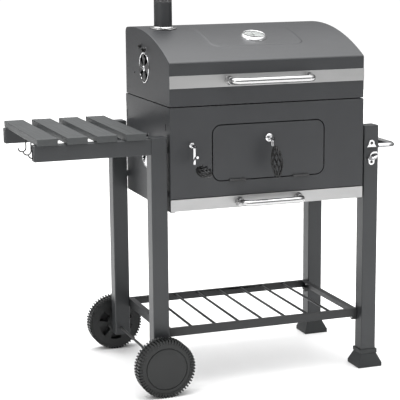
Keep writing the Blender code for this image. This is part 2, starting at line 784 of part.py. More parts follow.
def make_pinion(name, middle_y, axle):
    module = 2 * PINION_RADIUS / PINION_TEETH
    tip = PINION_RADIUS + ADDENDUM * module
    root = PINION_RADIUS - DEDENDUM * module
    base = PINION_RADIUS * math.cos(PRESSURE)
    half_pitch = TOOTH_SHARE * math.pi / PINION_TEETH
    radii = [root] + [base + (tip - base) * step / 2 for step in range(3)]
    loop = []
    for tooth in range(PINION_TEETH):
        middle = math.pi + 2 * math.pi * (tooth + 0.5) / PINION_TEETH
        flank = []
        for radius in radii:
            pressure = math.acos(min(1.0, base / radius))
            half = half_pitch + involute(PRESSURE) - involute(pressure)
            flank.append((radius, half))
        for radius, half in flank:
            loop.append((radius * math.cos(middle - half), radius * math.sin(middle - half)))
        for radius, half in reversed(flank):
            loop.append((radius * math.cos(middle + half), radius * math.sin(middle + half)))
    bore = arc((0, 0), SHAFT_RADIUS + FIT, 0, 2 * math.pi, 16)[:-1]
    part(plate(name, [loop, bore], PINION_WIDTH, (SHAFT_X, middle_y, SHAFT_Z), "XZ"),
         STEEL, axle)


PINION_MODULE = 2 * PINION_RADIUS / PINION_TEETH
PINION_TIP = PINION_RADIUS + ADDENDUM * PINION_MODULE
TOOTH_PITCH = math.pi * PINION_MODULE
PITCH_X = SHAFT_X - PINION_RADIUS
RACK_TIP_X = PITCH_X + ADDENDUM * PINION_MODULE
RACK_ROOT_X = PITCH_X - DEDENDUM * PINION_MODULE
RACK_BACK_X = RACK_ROOT_X - RACK_BODY
TRAY_FLOOR = SEAM_Z - TRAY_DROP
TRAY_LEFT = SHAFT_X + PINION_TIP + TRAY_SIDE_PLAY
TRAY_RIGHT = X_IN - TRAY_RIGHT_PLAY
TRAY_HALF = Y_REAR_IN - TRAY_DEPTH_PLAY
CARRIAGE_TOP = TRAY_FLOOR - FIT
CARRIAGE_BOTTOM = CARRIAGE_TOP - CARRIAGE_THICK


def rack_outline():
    """Rack bar with trapezoid teeth towards +X, one of them level with the shaft."""
    half = TOOTH_SHARE * TOOTH_PITCH / 2
    at_tip = half - ADDENDUM * PINION_MODULE * math.tan(PRESSURE)
    at_root = half + DEDENDUM * PINION_MODULE * math.tan(PRESSURE)
    top = SHAFT_Z + (RACK_TEETH_UP + 0.5) * TOOTH_PITCH
    loop = [(RACK_BACK_X, top), (RACK_BACK_X, CARRIAGE_BOTTOM), (RACK_ROOT_X, CARRIAGE_BOTTOM)]
    for tooth in range(-RACK_TEETH_DOWN, RACK_TEETH_UP + 1):
        middle = SHAFT_Z + tooth * TOOTH_PITCH
        loop.append((RACK_ROOT_X, middle - at_root))
        loop.append((RACK_TIP_X, middle - at_tip))
        loop.append((RACK_TIP_X, middle + at_tip))
        loop.append((RACK_ROOT_X, middle + at_root))
    loop.append((RACK_ROOT_X, top))
    return loop


def make_lift(axle):
    edge = RACK_SPREAD / 2 + PINION_WIDTH / 2
    outside = rectangle(RACK_BACK_X, -edge, TRAY_RIGHT, edge)
    inside = rectangle(RACK_BACK_X + CARRIAGE_BAR, -edge + CARRIAGE_BAR,
                       TRAY_RIGHT - CARRIAGE_BAR, edge - CARRIAGE_BAR)
    middle_z = (CARRIAGE_TOP + CARRIAGE_BOTTOM) / 2
    carriage = part(plate("lift_carriage", [outside, inside], CARRIAGE_THICK,
                          (0, 0, middle_z), "XY"), STEEL, axle)
    groove = PINION_WIDTH / 2 + FIT
    wall = groove + GUIDE_WALL
    for side, label in ((-1, "front"), (1, "rear")):
        middle_y = side * RACK_SPREAD / 2
        join(carriage, tool(plate("rack_" + label, [rack_outline()], PINION_WIDTH,
                                  (0, middle_y, 0), "XZ"), axle))
        mouth = RACK_ROOT_X - 0.001
        back = RACK_BACK_X - FIT
        start = -X_IN + FIT
        loop = [(start, -wall), (mouth, -wall), (mouth, -groove), (back, -groove),
                (back, groove), (mouth, groove), (mouth, wall), (start, wall)]
        part(plate("rack_guide_" + label, [loop], GUIDE_HEIGHT,
                   (0, middle_y, SHAFT_Z - GUIDE_HEIGHT * 0.35), "XY"), IRON)
    tray = box("charcoal_tray", (TRAY_LEFT, -TRAY_HALF, TRAY_FLOOR),
               (TRAY_RIGHT, TRAY_HALF, TRAY_FLOOR + TRAY_HEIGHT))
    open_side(tray, (0, 0, 1))
    shell(tray, SHEET)
    part(tray, ENAMEL, axle)
    pitch = (TRAY_RIGHT - TRAY_LEFT) / (TRAY_SLOTS + 1)
    reach = RACK_SPREAD / 2 - CARRIAGE_BAR
    for slot in range(TRAY_SLOTS):
        middle = TRAY_LEFT + pitch * (slot + 1)
        cut(tray, tool(box("tray_slot", (middle - TRAY_SLOT_WIDTH / 2, -reach,
                                         TRAY_FLOOR - SHEET),
                           (middle + TRAY_SLOT_WIDTH / 2, reach,
                            TRAY_FLOOR + 2 * SHEET)), axle))


# --------------------------------------------------------------------- ash drawer
def make_handle(name, span, face_y, height, parent):
    """U of round tube on two round flanges, on a face that looks along -Y."""
    bar_y = face_y - FIT - HANDLE_REACH
    start = face_y - FIT - FLANGE_THICK / 2
    half = span / 2
    points = [(-half, start, height)]
    points += bend((-half, bar_y, height), (0, -1, 0), (1, 0, 0), HANDLE_BEND, 4)
    points += bend((half, bar_y, height), (1, 0, 0), (0, 1, 0), HANDLE_BEND, 4)
    points.append((half, start, height))
    handle = part(tube(name, points, HANDLE_RADIUS, 3), CHROME, parent)
    for side in (-half, half):
        join(handle, tool(rod(name + "_flange", FLANGE_RADIUS,
                              (side, face_y - FIT - FLANGE_THICK, height),
                              FLANGE_THICK, "Y", 16), parent))


def make_drawer(axle):
    half = X_IN - DRAWER_PLAY
    pan = box("ash_drawer", (-half, Y_FRONT_IN + FIT, DRAWER_FLOOR),
              (half, Y_REAR_IN - DRAWER_PLAY, DRAWER_FLOOR + DRAWER_PAN_HEIGHT))
    open_side(pan, (0, 0, 1))
    shell(pan, SHEET)
    part(pan, ANTHRACITE, axle)
    part(box("drawer_front", (-X_OUT, Y_FRONT, DRAWER_TOP - DRAWER_FRONT_HEIGHT),
             (X_OUT, Y_FRONT_IN, DRAWER_TOP)), STEEL, axle)
    make_handle("drawer_handle", DRAWER_HANDLE_SPAN, Y_FRONT,
                DRAWER_TOP - DRAWER_FRONT_HEIGHT / 2, axle)


# ---------------------------------------------------------------------------- lid
def lid_skin(depth):
    """Height of the lid's curve at a distance behind the origin line."""
    return LID_CENTRE_Z + math.sqrt(LID_RADIUS ** 2 - (depth - LID_PEAK_Y) ** 2)


def lid_outline():
    corner_y = LID_REAR - LID_REAR_RADIUS
    inner = LID_RADIUS - LID_REAR_RADIUS
    corner_z = LID_CENTRE_Z + math.sqrt(inner ** 2 - (corner_y - LID_PEAK_Y) ** 2)
    tangent = math.atan2(corner_z - LID_CENTRE_Z, corner_y - LID_PEAK_Y)
    crease = math.atan2(LID_CREASE - LID_CENTRE_Z, LID_FRONT - LID_PEAK_Y)
    loop = [(LID_FRONT, LID_BOTTOM), (LID_REAR, LID_BOTTOM)]
    loop += arc((corner_y, corner_z), LID_REAR_RADIUS, 0, tangent, 5)
    loop += arc((LID_PEAK_Y, LID_CENTRE_Z), LID_RADIUS, tangent, crease, 16)[1:]
    return loop


def make_lid(axle):
    lid = plate("lid", [lid_outline()], BODY_WIDTH, (0, 0, 0), "YZ")
    open_side(lid, (0, -1, 0))
    shell(lid, SHEET)
    part(lid, ANTHRACITE, axle)
    vent_y = LID_FRONT + LID_VENT_BACK
    vent_z = LID_BOTTOM + LID_VENT_LIFT
    cut(lid, tool(plate("lid_petals", petals((vent_y, vent_z)), 4 * SHEET,
                        (-X_OUT, 0, 0), "YZ"), axle))
    chimney_y = LID_FRONT + CHIMNEY_BACK
    cut(lid, tool(rod("chimney_hole", CHIMNEY_RADIUS + 2 * FIT,
                      (CHIMNEY_X, chimney_y, lid_skin(chimney_y) - 0.02),
                      0.04, "Z", 24), axle))
    gauge, tilt = gauge_seat()
    hole = rod("stem_hole", GAUGE_STEM_RADIUS + FIT, (0, 0, -0.01), 0.02, "Z", 16)
    hole.location = gauge
    hole.rotation_euler = (tilt, 0, 0)
    cut(lid, tool(hole, axle))
    band_z = LID_BOTTOM + LID_BAND_LIFT
    face = LID_FRONT - FIT
    part(box("lid_band", (-X_OUT, face - BAND_THICK, band_z),
             (X_OUT, face, band_z + LID_BAND_HEIGHT)), STEEL, axle)
    make_handle("lid_handle", LID_HANDLE_SPAN, face - BAND_THICK,
                band_z + LID_BAND_HEIGHT / 2, axle)
    for side, label in ((-1, "left"), (1, "right")):
        centre = side * LID_HINGE_SPREAD / 2
        part(hinge_half("lid_hinge_" + label, LID_AXIS, centre, LID_HINGE_WIDTH,
                        LID_REAR + FIT, LID_LEAF_HEIGHT, False, axle), IRON, axle)
        part(hinge_half("body_hinge_" + label, LID_AXIS, centre, LID_HINGE_WIDTH,
                        Y_REAR + FIT, -LID_LEAF_HEIGHT, True, trolley), IRON)


def gauge_seat():
    depth = LID_FRONT + GAUGE_BACK
    tilt = math.asin((LID_PEAK_Y - depth) / LID_RADIUS)
    normal = Vector((0, -math.sin(tilt), math.cos(tilt)))
    return Vector((GAUGE_X, depth, lid_skin(depth))) + normal * FIT, tilt


def make_gauge(axle, needle_axle):
    seat, tilt = gauge_seat()
    inner = GAUGE_RADIUS - GAUGE_RIM
    case = turned("thermometer_case",
                  [(0, GAUGE_FLOOR), (inner, GAUGE_FLOOR), (inner, GAUGE_HEIGHT),
                   (GAUGE_RADIUS - 0.0015, GAUGE_HEIGHT), (GAUGE_RADIUS, GAUGE_HEIGHT - 0.002),
                   (GAUGE_RADIUS, 0), (GAUGE_STEM_RADIUS, 0),
                   (GAUGE_STEM_RADIUS, -GAUGE_STEM), (0, -GAUGE_STEM)], seat, 28)
    lens_low = GAUGE_HEIGHT - 0.0022
    lens = turned("thermometer_lens",
                  [(0, lens_low + 0.001), (inner - FIT, lens_low + 0.001),
                   (inner - FIT, lens_low), (0, lens_low)], seat, 28)
    needle_low = GAUGE_FLOOR + FIT
    needle = plate("thermometer_needle",
                   [[(-0.0012, -0.009), (0.0012, -0.009), (0.0012, 0), (0, 0.028), (-0.0012, 0)]],
                   0.0006, seat, "XY")
    normal = Vector((0, -math.sin(tilt), math.cos(tilt)))
    needle.location = seat + normal * (needle_low + 0.0003)
    for obj in (case, lens, needle):
        obj.rotation_euler = (tilt, 0, 0)
    part(case, CHROME, axle)
    part(lens, GLASS, axle)
    part(needle, BLACK, needle_axle)


def chimney_place():
    depth = LID_FRONT + CHIMNEY_BACK
    return Vector((CHIMNEY_X, depth, lid_skin(depth)))


def make_chimney(axle, cap_axle):
    place = chimney_place()
    outer = CHIMNEY_RADIUS
    inner = outer - CHIMNEY_WALL
    neck = inner - FIT
    bore = neck - CHIMNEY_WALL
    shoulder = CHIMNEY_RISE
    top = shoulder + CHIMNEY_NECK
    pipe = turned("chimney_pipe",
                  [(bore, top), (neck, top), (neck, shoulder), (outer, shoulder),
                   (outer, -CHIMNEY_DIP), (bore, -CHIMNEY_DIP), (bore, top)], place, 32)
    part(pipe, ANTHRACITE, axle)
    cap_bottom = shoulder + FIT
    cap_top = cap_bottom + CAP_HEIGHT
    cap = turned("chimney_cap",
                 [(0, cap_top), (outer - 0.003, cap_top), (outer, cap_top - 0.002),
                  (outer, cap_bottom), (inner, cap_bottom), (inner, cap_top - CHIMNEY_WALL),
                  (0, cap_top - CHIMNEY_WALL)], place, 32)
    part(cap, CHROME, cap_axle)
    window_low = place.z + shoulder + 0.004
    for window in range(CAP_WINDOWS // 2):
        knife = box("cap_window", (-2 * outer, -CAP_WINDOW_WIDTH / 2, 0),
                    (2 * outer, CAP_WINDOW_WIDTH / 2, CAP_WINDOW_HEIGHT))
        knife.location = (place.x, place.y, window_low + CAP_WINDOW_HEIGHT / 2)
        knife.rotation_euler = (0, 0, math.pi * (2 * window + 1) / CAP_WINDOWS)
        tool(knife, cap_axle)
        cut(cap, knife)
        cut(pipe, knife)
    tilt = math.asin((LID_PEAK_Y - place.y) / LID_RADIUS)
    hole = outer + 3 * FIT
    flange = turned("chimney_flange",
                    ring_profile(CHIMNEY_FLANGE_RADIUS, hole, CHIMNEY_FLANGE_THICK, 0), place, 24)
    flange.rotation_euler = (tilt, 0, 0)
    flange.location = place + Vector((0, -math.sin(tilt), math.cos(tilt))) * FIT
    part(flange, CHROME, axle)


# -------------------------------------------------------------------------- vents
def make_vent(name, place, axle):
    """Turning disc with four petals, and a knob on its tab."""
    knob = math.pi / 2 + KNOB_ANGLE
    half = math.asin(KNOB_RADIUS / VENT_RADIUS)
    outside = arc((0, 0), VENT_RADIUS, knob + half, knob + 2 * math.pi - half, 28)
    tip = (KNOB_OFFSET * math.cos(knob), KNOB_OFFSET * math.sin(knob))
    outside += arc(tip, KNOB_RADIUS, knob - math.pi / 2, knob + math.pi / 2, 6)
    pivot = place + Vector((-FIT - VENT_THICK / 2, 0, 0))
    part(plate(name + "_disc", [outside] + petals((0, 0)), VENT_THICK, pivot, "YZ"),
         CHROME, axle)
    seat = place + Vector((-2 * FIT - VENT_THICK, tip[0], tip[1]))
    start = seat - Vector((KNOB_LENGTH, 0, 0))
    part(rod(name + "_knob", KNOB_RADIUS, start, KNOB_LENGTH, "X", 20), BLACK, axle)


# ------------------------------------------------------------------- legs, wheels
def make_leg(name, side, span, bottom, axle_hole):
    edges = sorted((side * LEG_IN, side * LEG_OUT))
    outside = rectangle(edges[0], span[0], edges[1], span[1])
    inside = rectangle(edges[0] + LEG_WALL, span[0] + LEG_WALL,
                       edges[1] - LEG_WALL, span[1] - LEG_WALL)
    leg = part(plate(name, [outside, inside], LEG_TOP - bottom,
                     (0, 0, (LEG_TOP + bottom) / 2), "XY"), ANTHRACITE)
    if axle_hole:
        cut(leg, tool(rod(name + "_axle_hole", AXLE_RADIUS + FIT,
                          (AXLE_X, span[0] - 0.01, AXLE_Z), LEG_DEPTH + 0.02, "Y", 20)))


def make_foot(name, span):
    """Flared plinth with a collar, hollowed for the end of the leg."""
    centre = Vector(((LEG_IN + LEG_OUT) / 2, sum(span) / 2, FOOT_BASE / 2))
    leg = Vector((LEG_WIDTH, LEG_DEPTH, 0))
    base = leg + Vector((2 * FOOT_FLARE, 2 * FOOT_FLARE, FOOT_BASE))
    collar = leg + Vector((2 * FOOT_COLLAR_WALL, 2 * FOOT_COLLAR_WALL, 0))
    waist = leg + Vector((FOOT_COLLAR_WALL, FOOT_COLLAR_WALL, 0))
    bm = bmesh.new()
    bmesh.ops.create_cube(bm, size=1)
    bmesh.ops.scale(bm, vec=base, verts=bm.verts)
    bm.normal_update()
    top = max(bm.faces, key=lambda face: face.calc_center_median().z)
    size = base
    neck = FOOT_HEIGHT - FOOT_COLLAR
    levels = ((neck - FOOT_BASE, waist), (0, collar), (FOOT_COLLAR, collar))
    for rise, goal in levels:
        new = bmesh.ops.extrude_face_region(bm, geom=[top])["geom"]
        verts = [item for item in new if isinstance(item, bmesh.types.BMVert)]
        faces = [item for item in new if isinstance(item, bmesh.types.BMFace)]
        bmesh.ops.delete(bm, geom=[top], context="FACES_ONLY")
        top = faces[0]
        bmesh.ops.translate(bm, vec=(0, 0, rise), verts=verts)
        bmesh.ops.scale(bm, vec=(goal.x / size.x, goal.y / size.y, 1), verts=verts)
        size = goal
    foot = part(mesh_object(name, bm, centre), PLASTIC)
    cut(foot, tool(box(name + "_socket", (LEG_IN - FIT, span[0] - FIT, FOOT_FLOOR),
                       (LEG_OUT + FIT, span[1] + FIT, FOOT_HEIGHT + 0.01))))


def make_wheel(name, middle_y, outward, axle):
    """Moulded wheel: ribbed tyre, recessed disc and a hub towards the leg."""
    half = WHEEL_WIDTH / 2
    bore = AXLE_RADIUS + RUNNING
    disc = WHEEL_RADIUS - TREAD_DEPTH
    hub_end = -half - WHEEL_STAND_OFF + 0.001
    profile = [(bore, half - 0.003), (disc, half - WHEEL_DISC_RECESS),
               (disc + 0.005, half), (WHEEL_RADIUS - 0.004, half),
               (WHEEL_RADIUS, half - 0.004), (WHEEL_RADIUS, -half + 0.004),
               (WHEEL_RADIUS - 0.004, -half), (disc + 0.005, -half),
               (disc, -half + 0.015), (WHEEL_HUB_RADIUS, -half + 0.015),
               (WHEEL_HUB_RADIUS, hub_end), (bore, hub_end), (bore, half - 0.003)]
    wheel = turned(name, profile, (AXLE_X, middle_y, AXLE_Z), 30)
    wheel.rotation_euler = (-outward * math.pi / 2, 0, 0)
    part(wheel, BLACK, axle)


# --------------------------------------------------------------------- wire shelf
def make_shelf():
    """Angle frame with its flange on top, and seven rungs from front to rear."""
    front = LEG_FRONT_Y[0] + SHELF_INSET
    rear = LEG_REAR_Y[1] - SHELF_INSET + SHELF_END_FLANGE
    half = LEG_IN - FIT
    outside = rectangle(-half, front, half, rear)
    inside = rectangle(-half + SHELF_SIDE_FLANGE, front + SHELF_END_FLANGE,
                       half - SHELF_SIDE_FLANGE, rear - SHELF_END_FLANGE)
    frame = plate("wire_shelf", [outside, inside], SHELF_HEIGHT,
                  (0, 0, SHELF_Z - SHELF_HEIGHT / 2), "XY")
    open_side(frame, (0, 0, -1))
    bm = bmesh.new()
    bm.from_mesh(frame.data)
    bm.normal_update()
    inner = []
    for face in bm.faces:
        centre = face.calc_center_median()
        if abs(face.normal.z) < 0.5 and abs(centre.x) < half - 0.001:
            if front + 0.001 < centre.y < rear - 0.001:
                inner.append(face)
    bmesh.ops.delete(bm, geom=inner, context="FACES")
    bm.to_mesh(frame.data)
    bm.free()
    shell(frame, SHEET)
    part(frame, ANTHRACITE)
    for rung in range(RUNG_COUNT):
        across = (rung - (RUNG_COUNT - 1) / 2) * RUNG_PITCH
        join(frame, tool(rod("rung", RUNG_RADIUS, (across, front + SHEET / 2,
                                                    SHELF_Z - RUNG_DROP),
                             rear - front - SHEET, "Y", 12)))


# --------------------------------------------------------------------- side table
def make_table():
    left = TABLE_LEFT - RAIL_OVERSHOOT
    right = -LEG_OUT - FIT
    front = LEG_FRONT_Y[0]
    rear = SLAT_REAR - SLAT_OVERHANG
    bottom = RAIL_TOP - RAIL_HEIGHT
    for name, near, far, gone in (("table_rail_front", front, front + RAIL_DEPTH, 1),
                                  ("table_rail_rear", rear - RAIL_DEPTH, rear, -1)):
        rail = box(name, (left, near, bottom), (right, far, RAIL_TOP))
        open_side(rail, (0, gone, 0))
        open_side(rail, (1, 0, 0))
        open_side(rail, (-1, 0, 0))
        shell(rail, SHEET)
        part(rail, ANTHRACITE)
    for slat in range(SLAT_COUNT):
        edge = TABLE_LEFT + slat * SLAT_PITCH
        part(box("table_slat_%d" % (slat + 1), (edge, SLAT_FRONT, SLAT_BOTTOM),
                 (edge + SLAT_WIDTH, SLAT_REAR, SLAT_BOTTOM + SLAT_THICK)), SLATE)
    for hook in range(HOOK_COUNT):
        depth = SLAT_FRONT + HOOK_FIRST + hook * HOOK_PITCH
        top = SLAT_BOTTOM - FIT
        low = top - HOOK_SHANK
        points = [(HOOK_X, depth, top)]
        for across, down in arc((HOOK_X - HOOK_BEND, low), HOOK_BEND, 0, -math.pi, 8):
            points.append((across, depth, down))
        part(tube("table_hook_%d" % (hook + 1), points, HOOK_RADIUS, 2), BLACK)


def make_push_bar():
    height = LEG_TOP - PUSH_DROP
    front = sum(LEG_FRONT_Y) / 2
    rear = sum(LEG_REAR_Y) / 2
    start = LEG_OUT + FIT
    points = [(start, front, height)]
    points += bend((PUSH_X, front, height), (1, 0, 0), (0, 1, 0), PUSH_BEND, 6)
    points += bend((PUSH_X, rear, height), (0, 1, 0), (-1, 0, 0), PUSH_BEND, 6)
    points.append((start, rear, height))
    part(tube("push_bar", points, PUSH_RADIUS), CHROME)


def make_opener():
    """Plate with two screw holes and a mouth, under a lip that takes the cap's edge."""
    middle = (LEG_IN + LEG_OUT) / 2
    top = LEG_TOP - OPENER_DROP
    half = OPENER_WIDTH / 2
    face = LEG_FRONT_Y[0] - FIT
    outside = rounded(middle - half, top - OPENER_HEIGHT, middle + half, top, half - 0.002)
    holes = [arc((middle, height), 0.0025, 0, 2 * math.pi, 12)[:-1]
             for height in (top - 0.010, top - OPENER_HEIGHT + 0.010)]
    mouth = rounded(middle - 0.010, top - 0.044, middle + 0.010, top - 0.034, 0.0045)
    opener = part(plate("bottle_opener", [outside, mouth] + holes, OPENER_THICK,
                        (0, face - OPENER_THICK / 2, 0), "XZ"), CHROME)
    lip = box("opener_lip", (middle - half + 0.002, face - OPENER_LIP, top - 0.028),
              (middle + half - 0.002, face - OPENER_THICK / 2, top - 0.024))
    join(opener, tool(lip))


# ------------------------------------------------------------------------ assembly
make_front_panel()
make_rear_panel()
make_side_panel("side_panel_left", -1, True)
make_side_panel("side_panel_right", 1, False)
make_grate("cooking_grate_left", -X_IN + GRATE_PLAY, -GRATE_PLAY / 4)
make_grate("cooking_grate_right", GRATE_PLAY / 4, X_IN - GRATE_PLAY)

door_axle = empty("door_axle", DOOR_AXIS, trolley)
make_door(door_axle)
make_latch(empty("latch_axle", LATCH_AXIS, door_axle))

crank_axle = empty("crank_axle", (SHAFT_X, Y_FRONT, SHAFT_Z), trolley)
make_crank(crank_axle)
make_pinion("pinion_front", -RACK_SPREAD / 2, crank_axle)
make_pinion("pinion_rear", RACK_SPREAD / 2, crank_axle)
make_lift(empty("lift_axle", (RACK_BACK_X, 0, CARRIAGE_BOTTOM), trolley))
make_drawer(empty("drawer_axle", (0, Y_FRONT, DRAWER_FLOOR), trolley))

lid_axle = empty("lid_axle", LID_AXIS, trolley)
make_lid(lid_axle)
GAUGE_PLACE = gauge_seat()[0]
make_gauge(lid_axle, empty("needle_axle", GAUGE_PLACE, lid_axle))
make_chimney(lid_axle, empty("cap_axle", chimney_place(), lid_axle))
LID_VENT = Vector((-X_OUT, LID_FRONT + LID_VENT_BACK, LID_BOTTOM + LID_VENT_LIFT))
BODY_VENT = Vector((-X_OUT, Y_FRONT + BODY_VENT_BACK, SEAM_Z - BODY_VENT_DROP))
make_vent("lid_vent", LID_VENT, empty("lid_vent_axle", LID_VENT, lid_axle))
make_vent("body_vent", BODY_VENT, empty("body_vent_axle", BODY_VENT, trolley))

make_leg("leg_front_left", -1, LEG_FRONT_Y, AXLE_Z - LEG_BELOW_AXLE, True)
make_leg("leg_rear_left", -1, LEG_REAR_Y, AXLE_Z - LEG_BELOW_AXLE, True)
make_leg("leg_front_right", 1, LEG_FRONT_Y, FOOT_FLOOR + FIT, False)
make_leg("leg_rear_right", 1, LEG_REAR_Y, FOOT_FLOOR + FIT, False)
make_foot("foot_front_right", LEG_FRONT_Y)
make_foot("foot_rear_right", LEG_REAR_Y)

FRONT_WHEEL_Y = LEG_FRONT_Y[0] - WHEEL_STAND_OFF - WHEEL_WIDTH / 2
REAR_WHEEL_Y = LEG_REAR_Y[1] + WHEEL_STAND_OFF + WHEEL_WIDTH / 2
AXLE_START = FRONT_WHEEL_Y - WHEEL_WIDTH / 2 + AXLE_END
AXLE_STOP = REAR_WHEEL_Y + WHEEL_WIDTH / 2 - AXLE_END
part(rod("axle", AXLE_RADIUS, (AXLE_X, AXLE_START, AXLE_Z), AXLE_STOP - AXLE_START, "Y"), STEEL)
make_wheel("wheel_front", FRONT_WHEEL_Y, -1,
           empty("wheel_front_axle", (AXLE_X, FRONT_WHEEL_Y, AXLE_Z), trolley))
make_wheel("wheel_rear", REAR_WHEEL_Y, 1,
           empty("wheel_rear_axle", (AXLE_X, REAR_WHEEL_Y, AXLE_Z), trolley))

make_shelf()
make_table()
make_push_bar()
make_opener()
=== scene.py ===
"""Looks of the charcoal barbecue trolley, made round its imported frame.

Each function makes one piece of the trolley and hands it to fit(), which names the
body it moves with and the plain pieces it stands for.  Metres, front towards -Y.
"""

import json
import math

import bmesh
import bpy
from mathutils import Matrix, Vector


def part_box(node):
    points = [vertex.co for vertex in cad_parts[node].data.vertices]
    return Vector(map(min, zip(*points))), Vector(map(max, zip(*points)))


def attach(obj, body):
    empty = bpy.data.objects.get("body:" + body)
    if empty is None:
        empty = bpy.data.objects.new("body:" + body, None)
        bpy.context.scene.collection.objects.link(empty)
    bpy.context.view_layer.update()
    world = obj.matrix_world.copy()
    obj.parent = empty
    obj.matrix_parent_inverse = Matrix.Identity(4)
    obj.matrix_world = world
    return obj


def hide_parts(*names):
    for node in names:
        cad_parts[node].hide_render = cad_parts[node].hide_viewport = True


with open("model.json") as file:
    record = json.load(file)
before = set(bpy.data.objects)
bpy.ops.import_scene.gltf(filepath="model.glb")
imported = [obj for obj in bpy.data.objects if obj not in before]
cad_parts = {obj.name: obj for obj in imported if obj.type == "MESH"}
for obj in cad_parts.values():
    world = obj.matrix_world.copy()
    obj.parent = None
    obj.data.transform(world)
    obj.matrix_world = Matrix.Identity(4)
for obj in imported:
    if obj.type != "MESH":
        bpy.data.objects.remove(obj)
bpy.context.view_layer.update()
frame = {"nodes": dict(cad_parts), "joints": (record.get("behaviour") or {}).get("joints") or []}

X = Vector((1, 0, 0))
Y = Vector((0, 1, 0))
Z = Vector((0, 0, 1))
SHEET = 0.0015              # lid and door sheet
WELD = 0.000005             # points nearer than this are one point
CUT_THROUGH = 0.012         # thickness of the vents' petal cutters


# ------------------------------------------------------------------ bench tools
def clear():
    """Nothing selected, object mode."""
    if bpy.context.object and bpy.context.object.mode != "OBJECT":
        bpy.ops.object.mode_set(mode="OBJECT")
    bpy.ops.object.select_all(action="DESELECT")


def settle(name):
    """Name the new primitive and put its place into its mesh."""
    bpy.ops.object.transform_apply(location=True, rotation=True, scale=True)
    obj = bpy.context.object
    obj.name = name
    obj.data.name = name
    return obj


def block(name, low, high):
    """Box between two corners."""
    clear()
    low, high = Vector(low), Vector(high)
    bpy.ops.mesh.primitive_cube_add(size=1, location=(low + high) / 2, scale=high - low)
    return settle(name)


def aim(direction):
    """Rotation that turns up to a direction."""
    return Vector(direction).to_track_quat("Z", "Y").to_euler()


def disc(name, centre, direction, radius, sides):
    """Flat round face."""
    clear()
    bpy.ops.mesh.primitive_circle_add(vertices=sides, radius=radius, fill_type="NGON",
                                      location=centre, rotation=aim(direction))
    return settle(name)


def drum(name, centre, direction, radius, depth, sides=48):
    """Plain cylinder about its middle."""
    clear()
    bpy.ops.mesh.primitive_cylinder_add(vertices=sides, radius=radius, depth=depth,
                                        location=centre, rotation=aim(direction))
    return settle(name)


def shape(obj, kind="FACE"):
    """Edit mode on one object, with nothing selected."""
    clear()
    obj.select_set(True)
    bpy.context.view_layer.objects.active = obj
    bpy.ops.object.mode_set(mode="EDIT")
    bpy.ops.mesh.select_mode(type=kind)
    bpy.ops.mesh.select_all(action="DESELECT")


def pick(kind, test):
    """Select the faces, edges or points that pass a test, and only those."""
    bpy.ops.mesh.select_mode(type={"faces": "FACE", "edges": "EDGE", "verts": "VERT"}[kind])
    bpy.ops.mesh.select_all(action="DESELECT")
    cage = bmesh.from_edit_mesh(bpy.context.object.data)
    cage.normal_update()
    for item in getattr(cage, kind):
        if test(item):
            item.select_set(True)
    bmesh.update_edit_mesh(bpy.context.object.data)


def span(edge, axis):
    """Length of an edge along one axis."""
    return abs(edge.verts[0].co[axis] - edge.verts[1].co[axis])


def pull(step):
    """Extrude what is selected by a step."""
    bpy.ops.mesh.extrude_region_move(TRANSFORM_OT_translate={"value": Vector(step)})


def size(factor, centre):
    """Scale what is selected about a point."""
    if isinstance(factor, (int, float)):
        factor = (factor, factor, factor)
    bpy.ops.transform.resize(value=factor, center_override=centre)


def finish_shape():
    """Merge doubled points, turn the faces outward and leave edit mode."""
    bpy.ops.mesh.select_all(action="SELECT")
    bpy.ops.mesh.remove_doubles(threshold=WELD)
    bpy.ops.mesh.normals_make_consistent(inside=False)
    bpy.ops.object.mode_set(mode="OBJECT")


def modify(obj, kind, **settings):
    """Add a modifier, set it and apply it."""
    clear()
    obj.select_set(True)
    bpy.context.view_layer.objects.active = obj
    modifier = obj.modifiers.new(kind.lower(), kind)
    for name, value in settings.items():
        setattr(modifier, name, value)
    bpy.ops.object.modifier_apply(modifier=modifier.name)


def soften(obj, width, segments=2, angle=30):
    """Round the edges that are sharper than an angle."""
    modify(obj, "BEVEL", width=width, segments=segments, limit_method="ANGLE",
           angle_limit=math.radians(angle), miter_outer="MITER_ARC")


def smooth(obj, angle=32):
    """Shade smooth, with edges sharper than an angle kept crisp."""
    clear()
    obj.select_set(True)
    bpy.context.view_layer.objects.active = obj
    bpy.ops.object.shade_smooth_by_angle(angle=math.radians(angle))
    modify(obj, "WEIGHTED_NORMAL", keep_sharp=True)


def carve(obj, cutter):
    """Cut one shape out of a piece and throw the cutter away."""
    modify(obj, "BOOLEAN", operation="DIFFERENCE", solver="EXACT", object=cutter)
    bpy.data.objects.remove(cutter)


def weld(pieces, name):
    """Make several shapes one piece."""
    clear()
    for piece in pieces:
        piece.select_set(True)
    bpy.context.view_layer.objects.active = pieces[0]
    bpy.ops.object.join()
    obj = bpy.context.object
    obj.name = name
    obj.data.name = name
    return obj


def copy_of(obj, name, matrix):
    """Twin of a shape with its own mesh, moved by a matrix."""
    twin = obj.copy()
    twin.data = obj.data.copy()
    bpy.context.scene.collection.objects.link(twin)
    twin.name = name
    twin.data.name = name
    twin.data.transform(matrix)
    return twin


def joint_named(name):
    """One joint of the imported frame, with its place and axis."""
    return [joint for joint in frame["joints"] if joint["name"] == name][0]


def fit(obj, body, material, slot, *nodes):
    """Paint a finished piece and hang it on its body, in place of the plain pieces."""
    obj.data.materials.clear()
    obj.data.materials.append(material)
    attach(obj, body)
    if nodes:
        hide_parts(*nodes)
    return obj


